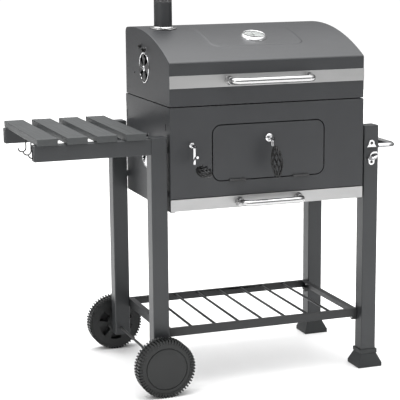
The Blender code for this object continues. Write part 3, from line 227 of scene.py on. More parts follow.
def turned(name, at, direction, rings, sides=48):
    """Turned piece: a disc pulled along its axis and widened ring by ring."""
    at, direction = Vector(at), Vector(direction).normalized()
    radius, height = rings[0]
    obj = disc(name, at + direction * height, direction, radius, sides)
    shape(obj)
    bpy.ops.mesh.select_all(action="SELECT")
    for wide, high in rings[1:]:
        pull(direction * (high - height))
        if abs(wide - radius) > 1e-7:
            size(wide / radius, at + direction * high)
        radius, height = wide, high
    finish_shape()
    return obj


def bar(name, radius, start, direction, moves, sides=24):
    """Round bar: a disc pulled along straight runs and spun round bends.

    A move is a step to pull by, or (centre, axis, degrees) to spin about.
    """
    obj = disc(name, start, direction, radius, sides)
    shape(obj)
    bpy.ops.mesh.select_all(action="SELECT")
    for move in moves:
        if isinstance(move, Vector):
            pull(move)
        else:
            centre, axis, degrees = move
            bpy.ops.mesh.spin(steps=max(4, int(abs(degrees) / 9)),
                              angle=-math.radians(degrees), center=centre, axis=axis)
    finish_shape()
    return obj


def refined(node, width, segments=2, split=False):
    """Clean copy of a plain piece, with its sharp edges rounded.

    Split draws a face with holes in it as triangles and quads, which shades cleanly.
    """
    clear()
    source = frame["nodes"][node]
    obj = source.copy()
    obj.data = source.data.copy()
    bpy.context.scene.collection.objects.link(obj)
    for key in list(obj.keys()):
        del obj[key]
    obj.parent = None
    obj.matrix_world = Matrix.Identity(4)
    obj.hide_render = False
    obj.hide_viewport = False
    obj.name = node + "_skin"
    obj.data.name = obj.name
    shape(obj)
    bpy.ops.mesh.select_all(action="SELECT")
    bpy.ops.mesh.remove_doubles(threshold=0.00001)
    bpy.ops.mesh.dissolve_limited(angle_limit=math.radians(1.5))
    if split:
        bpy.ops.mesh.quads_convert_to_tris()
        bpy.ops.mesh.tris_convert_to_quads()
    bpy.ops.object.mode_set(mode="OBJECT")
    if width:
        soften(obj, width, segments)
    smooth(obj)
    return obj


def screw_head(name, at, direction, radius=0.004):
    """Domed screw head with a cross recess."""
    head = turned(name, at, direction,
                  [(radius, -0.0005), (radius, radius * 0.25), (radius * 0.86, radius * 0.5),
                   (radius * 0.5, radius * 0.62)], 20)
    smooth(head, 60)
    return head


# -------------------------------------------------------------------- materials
class Finish:
    """One Principled material with the nodes that give it its surface."""

    def __init__(self, name, colour, roughness, metallic=0.0, **sockets):
        self.material = bpy.data.materials.new(name)
        self.material.use_nodes = True
        self.tree = self.material.node_tree
        self.shader = self.tree.nodes["Principled BSDF"]
        self.shader.inputs["Base Color"].default_value = (*colour, 1)
        self.shader.inputs["Roughness"].default_value = roughness
        self.shader.inputs["Metallic"].default_value = metallic
        self.colour = colour
        for name, value in sockets.items():
            self.shader.inputs[name.replace("_", " ")].default_value = value
        self.place = self.tree.nodes.new("ShaderNodeTexCoord")

    def grid(self, stretch=(1, 1, 1)):
        """Place on the piece, stretched along its axes."""
        node = self.tree.nodes.new("ShaderNodeMapping")
        node.inputs["Scale"].default_value = stretch
        self.tree.links.new(self.place.outputs["Object"], node.inputs["Vector"])
        return node.outputs["Vector"]

    def noise(self, scale, stretch=(1, 1, 1), detail=3, rough=0.5):
        """Noise pattern; the scale is in patches per metre."""
        node = self.tree.nodes.new("ShaderNodeTexNoise")
        node.inputs["Scale"].default_value = scale
        node.inputs["Detail"].default_value = detail
        node.inputs["Roughness"].default_value = rough
        self.tree.links.new(self.grid(stretch), node.inputs["Vector"])
        return node.outputs["Fac"]

    def ramp(self, source, stops):
        """Colours picked by a pattern, each stop a (value, colour) pair."""
        node = self.tree.nodes.new("ShaderNodeValToRGB")
        while len(node.color_ramp.elements) < len(stops):
            node.color_ramp.elements.new(0.5)
        for element, (at, colour) in zip(node.color_ramp.elements, stops):
            element.position = at
            element.color = (*colour, 1)
        self.tree.links.new(source, node.inputs["Fac"])
        return node.outputs["Color"]

    def spread(self, source, low, high, start=0.3, stop=0.7):
        """Pattern spread between two values."""
        node = self.tree.nodes.new("ShaderNodeMapRange")
        node.inputs["From Min"].default_value = start
        node.inputs["From Max"].default_value = stop
        node.inputs["To Min"].default_value = low
        node.inputs["To Max"].default_value = high
        self.tree.links.new(source, node.inputs["Value"])
        return node.outputs["Result"]

    def tint(self, source, low, high, start=0.3, stop=0.7):
        """Colour between two strengths of the finish's own colour."""
        stops = [(start, [c * low for c in self.colour]), (stop, [c * high for c in self.colour])]
        self.tree.links.new(self.ramp(source, stops), self.shader.inputs["Base Color"])

    def rough(self, source, low, high):
        """Roughness between two values, led by a pattern."""
        self.tree.links.new(self.spread(source, low, high), self.shader.inputs["Roughness"])

    def bump(self, layers):
        """Stack of surface reliefs, each a (pattern, depth in metres) pair."""
        last = None
        for source, depth in layers:
            node = self.tree.nodes.new("ShaderNodeBump")
            node.inputs["Strength"].default_value = 1.0
            node.inputs["Distance"].default_value = depth
            self.tree.links.new(source, node.inputs["Height"])
            if last:
                self.tree.links.new(last, node.inputs["Normal"])
            last = node.outputs["Normal"]
        self.tree.links.new(last, self.shader.inputs["Normal"])


def baked_paint(name, colour, roughness):
    """Heat-resistant satin paint: fine orange peel, faint clouding, slight flake."""
    finish = Finish(name, colour, roughness, 0.15, Specular_IOR_Level=0.5)
    cloud = finish.noise(7, detail=4, rough=0.6)
    peel = finish.noise(520, detail=2)
    grain = finish.noise(2400, detail=1)
    finish.tint(cloud, 0.93, 1.07)
    finish.rough(peel, roughness - 0.05, roughness + 0.06)
    finish.bump([(peel, 0.00012), (grain, 0.00003)])
    return finish.material


def brushed(name, colour, roughness, along=(3, 700, 700)):
    """Sheet with its grinding lines in one direction."""
    finish = Finish(name, colour, roughness, 1.0, Anisotropic=0.4)
    lines = finish.noise(1, along, detail=3, rough=0.7)
    broad = finish.noise(5, (1, 4, 4), detail=2)
    finish.tint(broad, 0.94, 1.04)
    finish.rough(lines, roughness - 0.07, roughness + 0.10)
    finish.bump([(lines, 0.00004)])
    return finish.material


def plated(name, colour=(0.82, 0.82, 0.83), roughness=0.09):
    """Bright plating, a little uneven where it was polished."""
    finish = Finish(name, colour, roughness, 1.0)
    wipe = finish.noise(38, (1, 1, 2.5), detail=3)
    ripple = finish.noise(160, detail=2)
    finish.rough(wipe, roughness - 0.035, roughness + 0.05)
    finish.tint(wipe, 0.97, 1.02)
    finish.bump([(ripple, 0.00003)])
    return finish.material


def moulded(name, colour, roughness):
    """Moulded plastic with a fine spark-eroded grain."""
    finish = Finish(name, colour, roughness, 0.0, Specular_IOR_Level=0.4)
    grain = finish.noise(1300, detail=2)
    cloud = finish.noise(14, detail=3)
    finish.tint(cloud, 0.9, 1.1)
    finish.rough(grain, roughness - 0.05, roughness + 0.08)
    finish.bump([(grain, 0.00006)])
    return finish.material


def painted_board(name, colour):
    """Painted slat: the grain shows faintly through the paint, along the board."""
    finish = Finish(name, colour, 0.5, 0.0, Specular_IOR_Level=0.45)
    grain = finish.noise(1, (260, 9, 260), detail=5, rough=0.65)
    cloud = finish.noise(9, detail=3)
    finish.tint(cloud, 0.92, 1.08)
    finish.rough(grain, 0.42, 0.60)
    finish.bump([(grain, 0.00022)])
    return finish.material


def enamelled(name, colour):
    """Fired enamel with pale flecks and a slight wave."""
    finish = Finish(name, colour, 0.28, 0.0, Coat_Weight=0.4, Coat_Roughness=0.12)
    speck = finish.noise(900, detail=2)
    wave = finish.noise(60, detail=2)
    light = [c * 2.2 + 0.01 for c in colour]
    flecks = finish.ramp(speck, [(0.60, colour), (0.72, light)])
    finish.tree.links.new(flecks, finish.shader.inputs["Base Color"])
    finish.rough(wave, 0.22, 0.36)
    finish.bump([(wave, 0.00015)])
    return finish.material


def cast(name, colour):
    """Sand-cast iron, coarse and uneven in tone."""
    finish = Finish(name, colour, 0.6, 0.3)
    sand = finish.noise(700, detail=4, rough=0.7)
    cloud = finish.noise(30, detail=3)
    finish.tint(cloud, 0.8, 1.25)
    finish.rough(sand, 0.5, 0.75)
    finish.bump([(sand, 0.00025)])
    return finish.material


def clear_glass(name):
    """Glass with a faint smear."""
    finish = Finish(name, (0.95, 0.97, 0.97), 0.02, 0.0, Transmission_Weight=1.0, IOR=1.45)
    smear = finish.noise(60, detail=2)
    finish.rough(smear, 0.01, 0.05)
    return finish.material


PAINT = baked_paint("anthracite paint", (0.030, 0.0315, 0.034), 0.42)
LEG_PAINT = baked_paint("leg paint", (0.031, 0.033, 0.035), 0.40)
SHELF_PAINT = baked_paint("shelf paint", (0.021, 0.022, 0.023), 0.45)
BOARD = painted_board("slate painted board", (0.044, 0.047, 0.048))
STEEL = brushed("brushed stainless band", (0.43, 0.43, 0.43), 0.42)
PLAIN = brushed("plain steel", (0.42, 0.42, 0.42), 0.38, (300, 300, 6))
CHROME = plated("chrome plating", (0.66, 0.66, 0.67))
SATIN_CHROME = plated("satin plating", (0.50, 0.50, 0.50), 0.19)
TYRE = moulded("tyre plastic", (0.013, 0.014, 0.014), 0.42)
FOOT = moulded("foot plastic", (0.020, 0.022, 0.023), 0.5)
KNOB = moulded("knob plastic", (0.005, 0.005, 0.005), 0.36)
WIRE = baked_paint("black wire lacquer", (0.004, 0.004, 0.004), 0.27)
BLACKED = baked_paint("blacked steel", (0.03, 0.03, 0.031), 0.5)
ENAMEL = enamelled("black enamel", (0.018, 0.018, 0.019))
GRATE = cast("grate iron", (0.032, 0.031, 0.030))
GLASS = clear_glass("gauge glass")
DIAL = moulded("dial face", (0.42, 0.42, 0.41), 0.35)
INK = moulded("dial ink", (0.02, 0.02, 0.02), 0.4)


# -------------------------------------------------------------------------- lid
lid_low, lid_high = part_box("lid")
WIDE = lid_high.x - lid_low.x
MID_X = (lid_high.x + lid_low.x) / 2
CREASE = lid_low.z + 0.126      # where the upright front turns into the barrel
PEAK_Y = lid_high.y - 0.089     # the barrel's top line
RISE = lid_high.z - CREASE
RADIUS = ((PEAK_Y - lid_low.y) ** 2 + RISE ** 2) / (2 * RISE)
CENTRE_Z = lid_high.z - RADIUS
REAR_RADIUS = 0.018
CREASE_ROUND = 0.005
END_ROUND = 0.0022              # along the lid's two ends
FIELD_HALF = Vector((0.150, 0.121))
FIELD_FRONT = 0.077             # field's front edge behind the lid's front
FIELD_CORNER = 0.028
FIELD_SLOPE = 0.0042
FIELD_HEIGHT = 0.0019
PETAL_INNER, PETAL_OUTER = 0.0112, 0.0414


def skin_height(depth):
    """Height of the barrel over a depth."""
    return CENTRE_Z + math.sqrt(RADIUS ** 2 - (depth - PEAK_Y) ** 2)


def outside_field(across, depth):
    """Distance outside the pressed field of the lid's top, which has round corners."""
    middle_y = lid_low.y + FIELD_FRONT + FIELD_HALF.y
    beyond_x = abs(across - MID_X) - FIELD_HALF.x + FIELD_CORNER
    beyond_y = abs(depth - middle_y) - FIELD_HALF.y + FIELD_CORNER
    return (math.hypot(max(beyond_x, 0), max(beyond_y, 0)) - FIELD_CORNER
            + min(max(beyond_x, beyond_y), 0))


def pressed(across, depth):
    """How far the lid's top is pressed up at a point."""
    share = min(max(-outside_field(across, depth) / FIELD_SLOPE, 0), 1)
    return FIELD_HEIGHT * share * share * (3 - 2 * share)


def wedge(centre, turn_degrees, thickness):
    """Cutter for one petal of a vent, with round corners, across the X axis."""
    narrow, flare = 0.0040, 3.4
    obj = block("petal", (-thickness / 2, -narrow, PETAL_INNER),
                (thickness / 2, narrow, PETAL_OUTER))
    shape(obj)
    pick("faces", lambda face: face.normal.z > 0.9)
    size((1, flare, 1), (0, 0, PETAL_OUTER))
    pick("edges", lambda edge: span(edge, 0) > thickness / 2)
    bpy.ops.mesh.bevel(offset=0.0038, segments=4)
    finish_shape()
    obj.data.transform(Matrix.Translation(centre)
                       @ Matrix.Rotation(math.radians(turn_degrees), 4, "X"))
    return obj


def petals_out_of(obj, centre):
    """Four petals on the diagonals round a centre."""
    for turn_degrees in (45, 135, 225, 315):
        carve(obj, wedge(centre, turn_degrees, CUT_THROUGH))


def make_lid():
    """Barrel lid: a spun skin with a raised field, thickened, cut for vent and chimney."""
    clear()
    front_middle = (MID_X, lid_low.y, (lid_low.z + CREASE) / 2)
    bpy.ops.mesh.primitive_plane_add(size=1, rotation=(math.pi / 2, 0, 0),
                                     location=front_middle)
    lid = settle("lid_skin")
    shape(lid)
    bpy.ops.mesh.select_all(action="SELECT")
    size((WIDE, 1, CREASE - lid_low.z), front_middle)
    corner_y = lid_high.y - REAR_RADIUS
    inner = RADIUS - REAR_RADIUS
    corner_z = CENTRE_Z + math.sqrt(inner ** 2 - (corner_y - PEAK_Y) ** 2)
    front = math.atan2(CREASE - CENTRE_Z, lid_low.y - PEAK_Y)
    rear = math.atan2(corner_z - CENTRE_Z, corner_y - PEAK_Y)
    shape(lid, "EDGE")
    pick("edges", lambda edge: all(v.co.z > CREASE - 0.001 for v in edge.verts))
    bpy.ops.mesh.spin(steps=72, angle=front - rear,
                      center=(MID_X, PEAK_Y, CENTRE_Z), axis=(1, 0, 0))
    bpy.ops.mesh.spin(steps=8, angle=rear, center=(MID_X, corner_y, corner_z), axis=(1, 0, 0))
    pull((0, 0, lid_low.z - corner_z))
    bpy.ops.mesh.select_all(action="SELECT")
    bpy.ops.mesh.remove_doubles(threshold=WELD)
    bpy.ops.mesh.normals_make_consistent(inside=False)
    pick("edges", lambda edge: all(abs(v.co.z - CREASE) < 0.0001 and v.co.y < lid_low.y + 0.001
                                   for v in edge.verts))
    bpy.ops.mesh.bevel(offset=CREASE_ROUND, segments=4)
    near, far = lid_low.y + 0.02, lid_high.y - 0.03
    pick("edges", lambda edge: span(edge, 0) > 0.1
         and near < edge.verts[0].co.y < far and edge.verts[0].co.z > CREASE - 0.01)
    bpy.ops.mesh.subdivide(number_cuts=123)
    pick("faces", lambda face: face.calc_center_median().z > CREASE and abs(
        outside_field(face.calc_center_median().x, face.calc_center_median().y) + 0.002) < 0.008)
    bpy.ops.mesh.subdivide(number_cuts=2)
    for side in (lid_low.x, lid_high.x):
        pick("verts", lambda vert: abs(vert.co.x - side) < 0.0001)
        bpy.ops.mesh.edge_face_add()
    bpy.ops.mesh.select_all(action="SELECT")
    bpy.ops.mesh.normals_make_consistent(inside=False)
    pick("edges", lambda edge: len(edge.link_faces) == 2
         and edge.calc_face_angle(0) > 1.2
         and all(abs(vert.co.x - MID_X) > WIDE / 2 - 0.001 for vert in edge.verts))
    bpy.ops.mesh.bevel(offset=END_ROUND, segments=3)
    cage = bmesh.from_edit_mesh(lid.data)
    for vert in cage.verts:
        if vert.co.z > CREASE:
            out = Vector((0, vert.co.y - PEAK_Y, vert.co.z - CENTRE_Z)).normalized()
            vert.co += out * pressed(vert.co.x, vert.co.y)
    bmesh.update_edit_mesh(lid.data)
    bpy.ops.object.mode_set(mode="OBJECT")
    modify(lid, "SOLIDIFY", thickness=SHEET, offset=-1, use_even_offset=True)
    petals_out_of(lid, vent_centre("lid_vent_disc") + X * 0.001)
    pipe_low, pipe_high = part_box("chimney_pipe")
    middle = (pipe_low + pipe_high) / 2
    hole = (pipe_high.x - pipe_low.x) / 2 + 0.0007
    carve(lid, drum("hole", (middle.x, middle.y, pipe_low.z + 0.012), Z, hole, 0.05))
    smooth(lid, 30)
    fit(lid, "lid", PAINT, "anthracite_paint", "lid")


def vent_centre(node):
    """Centre of a vent disc: it is as wide as it is round, and its tab stands up."""
    low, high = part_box(node)
    half = (high.y - low.y) / 2
    return Vector(((low.x + high.x) / 2, (low.y + high.y) / 2, low.z + half))


def make_band():
    """Steel band across the lid's front."""
    band = refined("lid_band", 0.0004, 3)
    fit(band, "lid", STEEL, "brushed_stainless", "lid_band")


def make_lid_trim():
    """Rivets and the vent's stop on the lid's left end."""
    centre = vent_centre("lid_vent_disc")
    face = lid_low.x
    stop_y, stop_z = centre.y + 0.0328, centre.z + 0.0624
    heads = [screw_head("rivet", (face, centre.y + 0.100, centre.z - 0.023), -X, 0.0036)]
    for lift in (0.020, 0.035, 0.085):
        place = (face, lid_high.y - 0.020, lid_low.z + lift)
        heads.append(screw_head("rivet", place, -X, 0.0016))
    rivets = weld(heads, "lid_rivets")
    fit(rivets, "lid", BLACKED, "black_steel")
    stop = turned("vent_stop", (face, stop_y, stop_z), -X,
                  [(0.0048, -0.0005), (0.0050, 0.004), (0.0044, 0.0085), (0.0028, 0.0095)], 24)
    arm_radius = 0.0022
    arm = bar("stop_arm", arm_radius, (face - arm_radius, stop_y, stop_z),
              (0, 0.88, -0.475), [Vector((0, 0.0125, -0.0067))], 12)
    stop = weld([stop, arm], "lid_vent_stop")
    smooth(stop, 40)
    fit(stop, "lid", KNOB, "black_plastic")


# ------------------------------------------------------------- handles and bars
def handle(name, node, body):
    """U-bar on two collars, each held by the bar's own flange."""
    low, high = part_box(node)
    middle_z = (low.z + high.z) / 2
    radius = 0.0095
    flange = 0.0140
    left, right = low.x + flange, high.x - flange
    wall = high.y
    out = low.y + radius
    bend = 0.022
    moves = [Vector((0, out + bend - wall, 0)),
             ((left + bend, out + bend, middle_z), Z, 90),
             X * (right - left - 2 * bend),
             ((right - bend, out + bend, middle_z), Z, 90),
             Vector((0, wall - out - bend, 0))]
    grip = bar(name, radius, (left, wall, middle_z), -Y, moves, 28)
    collars = []
    for across in (left, right):
        collars.append(turned(name + "_collar", (across, wall, middle_z), -Y,
                              [(flange - 0.001, 0), (flange, 0.001), (flange, 0.004),
                               (flange - 0.0018, 0.008), (0.0112, 0.012), (0.0102, 0.016),
                               (radius - 0.0005, 0.0168)], 32))
    whole = weld([grip] + collars, name)
    smooth(whole, 35)
    fit(whole, body, SATIN_CHROME, "chrome_trim", node)


def make_push_bar():
    """Push bar bent from tube, on a collar at each leg."""
    low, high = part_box("push_bar")
    radius = 0.011
    height = (low.z + high.z) / 2
    front, rear = low.y + radius, high.y - radius
    out, bend = high.x - radius, 0.030
    moves = [X * (out - bend - low.x),
             ((out - bend, front + bend, height), Z, 90),
             Y * (rear - front - 2 * bend),
             ((out - bend, rear - bend, height), Z, 90),
             X * (low.x - out + bend)]
    tube = bar("push_bar_tube", radius, (low.x, front, height), X, moves, 32)
    collars = []
    for depth in (front, rear):
        collars.append(turned("push_collar", (low.x, depth, height), X,
                              [(0.0155, 0), (0.0160, 0.001), (0.0155, 0.004), (0.0128, 0.007),
                               (radius, 0.0085)], 32))
    whole = weld([tube] + collars, "push_bar_tube")
    smooth(whole, 35)
    fit(whole, "base", CHROME, "chrome_trim", "push_bar")


def cage_grip(name, node, body, start, direction, length):
    """Twisted basket grip: eight bowed wires round two ferrules."""
    direction = Vector(direction).normalized()
    radius, seat, wire = 0.0162, 0.0048, 0.0023
    steps = 18
    one = disc(name + "_wire", (seat, 0, 0.003), Z, wire, 10)
    shape(one)
    bpy.ops.mesh.select_all(action="SELECT")
    height = length - 0.006
    before = seat
    for step in range(1, steps + 1):
        share = step / steps
        bow = seat + (radius - seat) * math.sin(math.pi * share) ** 0.85
        pull((bow - before, 0, height / steps))
        before = bow
    finish_shape()
    wires = [one]
    for count in range(1, 8):
        wires.append(copy_of(one, name + "_wire", Matrix.Rotation(math.pi * count / 4, 4, "Z")))
    grip = weld(wires, name)
    modify(grip, "SIMPLE_DEFORM", deform_method="TWIST", deform_axis="Z",
           angle=math.radians(115))
    ferrules = [turned(name + "_ferrule", (0, 0, 0), Z,
                       [(0.0042, 0), (0.0056, 0.0008), (0.0058, 0.007), (0.0046, 0.010)], 24),
                turned(name + "_ferrule", (0, 0, length), -Z,
                       [(0.0030, 0), (0.0052, 0.0015), (0.0056, 0.007), (0.0044, 0.010)], 24)]
    grip = weld([grip] + ferrules, name)
    grip.data.transform(Matrix.Translation(start) @ aim(direction).to_matrix().to_4x4())
    smooth(grip, 50)
    fit(grip, body, WIRE, "black_wire", node)


def make_latch():
    """Door latch: spindle bent down to the grip, collar, and tongue behind the door."""
    hub = Vector(joint_named("latch_turn")["pos_m"])
    forward = math.radians(13)
    lean = Vector((0, -math.sin(forward), -math.cos(forward)))
    reach, neck, length = 0.044, 0.018, 0.095
    collar = turned("latch_collar", hub - Y * 0.0004, -Y,
                    [(0.0130, 0), (0.0136, 0.0008), (0.0134, 0.003), (0.0112, 0.0058),
                     (0.0078, 0.0072), (0.0070, 0.0105), (0.0052, 0.0118)], 40)
    corner = hub - Y * reach
    bend = 0.010
    spindle = bar("latch_spindle", 0.0046, hub + Y * 0.0044, -Y,
                  [-Y * (reach - bend + 0.0044),
                   (corner + Y * bend - Z * bend, X, -77),
                   lean * (neck + 0.004 - bend * 0.9)], 24)
    tongue = block("latch_tongue", hub + Vector((-0.006, 0.0027, -0.006)),
                   hub + Vector((0.062, 0.0047, 0.006)))
    soften(tongue, 0.0006, 2)
    latch = weld([spindle, collar, tongue], "latch_lever")
    smooth(latch, 40)
    fit(latch, "latch", CHROME, "chrome_trim", "door_latch")
    cage_grip("latch_basket", "latch_grip", "latch", corner + lean * (neck + 0.0003), lean,
              length)


def make_crank():
    """Crank bent from rod, with its collar and grip."""
    shaft_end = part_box("crank")[1].y
    shaft = Vector(joint_named("crank_turn")["pos_m"])
    radius, bend, arm, reach, stub, length = 0.0040, 0.008, 0.061, 0.041, 0.003, 0.106
    elbow = shaft - Y * reach
    knee = elbow - Z * arm
    rod = bar("crank_rod", radius, (shaft.x, shaft_end, shaft.z), -Y,
              [-Y * (shaft_end - elbow.y - bend),
               (elbow + Y * bend - Z * bend, X, -90),
               -Z * (arm - 2 * bend),
               (knee - Y * bend + Z * bend, X, 90),
               -Y * stub], 24)
    collar = turned("crank_collar", shaft - Y * 0.0005, -Y,
                    [(0.0078, 0), (0.0082, 0.0006), (0.0080, 0.0032), (0.0060, 0.0040),
                     (0.0058, 0.0085), (0.0044, 0.0092)], 28)
    crank = weld([rod, collar], "crank_rod")
    smooth(crank, 40)
    fit(crank, "crank", CHROME, "chrome_trim", "crank")
    cage_grip("crank_basket", "crank_grip", "crank",
              knee - Y * (bend + stub + 0.0003), -Y, length)


# ----------------------------------------------------------- gauge and chimney
def make_gauge():
    """Thermometer: turned case, plain dial with marks, needle and domed lens."""
    joint = joint_named("needle_turn")
    seat = Vector(joint["pos_m"])
    up = -Vector(joint["axis"])
    case = turned("gauge_case", seat, up,
                  [(0.0040, -0.045), (0.0040, 0.0), (0.0400, 0.0), (0.0410, 0.0008),
                   (0.0406, 0.0028), (0.0372, 0.0066), (0.0352, 0.0086), (0.0338, 0.0090),
                   (0.0326, 0.0084), (0.0322, 0.0042), (0.0010, 0.0041)], 72)
    smooth(case, 38)
    fit(case, "lid", CHROME, "chrome_trim", "thermometer_case")
    dial = turned("gauge_dial", seat, up, [(0.0316, 0.00415), (0.0316, 0.0045)], 64)
    fit(dial, "lid", DIAL, "chrome_trim")
    spin = Matrix.Translation(seat) @ aim(up).to_matrix().to_4x4()
    marks = []
    steps, sweep = 24, 270
    for count in range(steps + 1):
        inner = 0.0238 if count % 4 == 0 else 0.0262
        mark = block("gauge_mark", (-0.0005, inner, 0.0044), (0.0005, 0.0290, 0.0047))
        turn = math.radians(225 - count * sweep / steps)
        mark.data.transform(spin @ Matrix.Rotation(turn, 4, "Z"))
        marks.append(mark)
    marks = weld(marks, "gauge_marks")
    fit(marks, "lid", INK, "black_wire")
    lens = turned("gauge_lens", seat, up,
                  [(0.0321, 0.0066), (0.0321, 0.0076), (0.0290, 0.0082), (0.0200, 0.0087),
                   (0.0080, 0.0089)], 64)
    smooth(lens, 60)
    fit(lens, "lid", GLASS, "gauge_glass", "thermometer_lens")
    needle = refined("thermometer_needle", 0)
    boss = turned("needle_boss", seat, up,
                  [(0.0024, 0.0050), (0.0024, 0.0058), (0.0016, 0.0062)], 20)
    needle = weld([needle, boss], "needle_skin")
    fit(needle, "needle", INK, "black_wire", "thermometer_needle")


def make_chimney():
    """Pipe with a stepped neck, the slotted cap that turns on it, and the screwed collar."""
    low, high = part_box("chimney_pipe")
    middle = (low + high) / 2
    outer = (high.x - low.x) / 2
    shoulder = high.z - 0.018
    wall = 0.0014
    neck = outer - wall - 0.0003
    foot = Vector((middle.x, middle.y, low.z))
    pipe = turned("chimney_tube", foot, Z,
                  [(neck - wall, 0), (outer, 0), (outer, shoulder - low.z - 0.0008),
                   (outer - 0.0006, shoulder - low.z), (neck, shoulder - low.z + 0.0004),
                   (neck, high.z - low.z), (neck - wall, high.z - low.z), (neck - wall, 0.0004)],
                  64)
    shape(pipe)
    pick("faces", lambda face: len(face.verts) > 8)
    bpy.ops.mesh.delete(type="FACE")
    bpy.ops.mesh.select_all(action="SELECT")
    bpy.ops.mesh.remove_doubles(threshold=0.0005)
    bpy.ops.mesh.normals_make_consistent(inside=False)
    bpy.ops.object.mode_set(mode="OBJECT")
    smooth(pipe, 30)
    fit(pipe, "lid", PAINT, "anthracite_paint", "chimney_pipe")
    cap_low, cap_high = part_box("chimney_cap")
    place = Vector((middle.x, middle.y, cap_low.z))
    tall = cap_high.z - cap_low.z
    sill, top, sides = 0.0042, 0.0138, 64
    cap = turned("chimney_shutter", place, Z,
                 [(outer, 0), (outer, sill), (outer, top), (outer, tall - 0.0030),
                  (outer - 0.0008, tall - 0.0012), (outer - 0.0028, tall - 0.0002),
                  (outer - 0.0060, tall), (0.010, tall)], sides)
    shape(cap)
    pick("faces", lambda face: face.normal.z < -0.9)
    bpy.ops.mesh.delete(type="FACE")

    def window(face):
        """One face in four, all the way round, between sill and top."""
        centre = face.calc_center_median()
        if abs(face.normal.z) > 0.3 or not sill < centre.z - place.z < top:
            return False
        around = math.atan2(centre.y - place.y, centre.x - place.x) / (2 * math.pi) * sides
        return math.floor(around) % 4 == 0

    pick("faces", window)
    bpy.ops.mesh.delete(type="FACE")
    bpy.ops.object.mode_set(mode="OBJECT")
    modify(cap, "SOLIDIFY", thickness=wall, offset=-1, use_even_offset=True)
    smooth(cap, 35)
    fit(cap, "chimney_shutter", CHROME, "chrome_trim", "chimney_cap")
    lean = math.asin((PEAK_Y - middle.y) / RADIUS)
    up = Vector((0, -math.sin(lean), math.cos(lean)))
    seat = Vector((middle.x, middle.y, skin_height(middle.y))) + up * 0.0003
    plate = turned("chimney_collar", seat, up,
                   [(0.0413, 0), (0.0420, 0.0006), (0.0418, 0.0014), (0.0400, 0.0024),
                    (0.0345, 0.0027), (0.0318, 0.0040), (0.0300, 0.0062), (0.0284, 0.0066)], 64)
    carve(plate, drum("hole", seat, Z, outer + 0.0003, 0.05, 64))
    screws = [screw_head("collar_screw", seat + Vector((side * 0.0185, -0.0300, 0))
                         + up * 0.0020, up, 0.0034) for side in (-1, 1)]
    screws.append(screw_head("collar_screw", seat + Vector((0, 0.0355, 0.0015))
                             + up * 0.0014, up, 0.0034))
    plate = weld([plate] + screws, "chimney_collar")
    smooth(plate, 40)
    fit(plate, "lid", SATIN_CHROME, "chrome_trim", "chimney_flange")


def make_vent(label, body):
    """Pressed vent disc with four petals, a raised rim, a rivet and its knob."""
    centre = vent_centre(label + "_disc")
    low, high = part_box(label + "_disc")
    radius = (high.y - low.y) / 2
    back = high.x
    plate = turned(label + "_plate", (back, centre.y, centre.z), -X,
                   [(radius - 0.0004, 0), (radius, 0.0005), (radius - 0.0002, 0.0016),
                    (radius - 0.0016, 0.0022), (radius - 0.0034, 0.0018),
                    (radius - 0.0050, 0.0012), (0.0115, 0.0012), (0.0095, 0.0018),
                    (0.0060, 0.0020)], 72)
    knob_low, knob_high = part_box(label + "_knob")
    knob = (knob_low + knob_high) / 2
    half, thin, reach = 0.0075, 0.0012, 0.014
    seat = Vector((back - thin / 2, knob.y, knob.z))
    tab = drum(label + "_tab", seat, X, half, thin, 32)
    bridge = block(label + "_bridge", (-thin / 2, -half, -reach), (thin / 2, half, reach))
    away = Vector((0, knob.y - centre.y, knob.z - centre.z)).normalized()
    tilt = math.atan2(away.y, away.z)
    bridge.data.transform(Matrix.Translation(seat - away * 0.011)
                          @ Matrix.Rotation(-tilt, 4, "X"))
    petals_out_of(plate, Vector((back, centre.y, centre.z)))
    shape(plate, "EDGE")
    bpy.ops.mesh.select_all(action="SELECT")
    bpy.ops.mesh.fill_holes(sides=4)
    finish_shape()
    rivet = screw_head(label + "_rivet", (back - 0.0018, centre.y, centre.z), -X, 0.0046)
    whole = weld([plate, tab, bridge, rivet], label + "_plate")
    smooth(whole, 35)
    fit(whole, body, CHROME, "chrome_trim", label + "_disc")
    grip = turned(label + "_button", (knob_high.x, knob.y, knob.z), -X,
                  [(0.0058, 0), (0.0075, 0.0012), (0.0075, 0.0036), (0.0062, 0.0055),
                   (0.0064, 0.0078), (0.0074, 0.0096), (0.0072, 0.0112), (0.0055, 0.0120)], 32)
    smooth(grip, 35)
    fit(grip, body, KNOB, "black_plastic", label + "_knob")


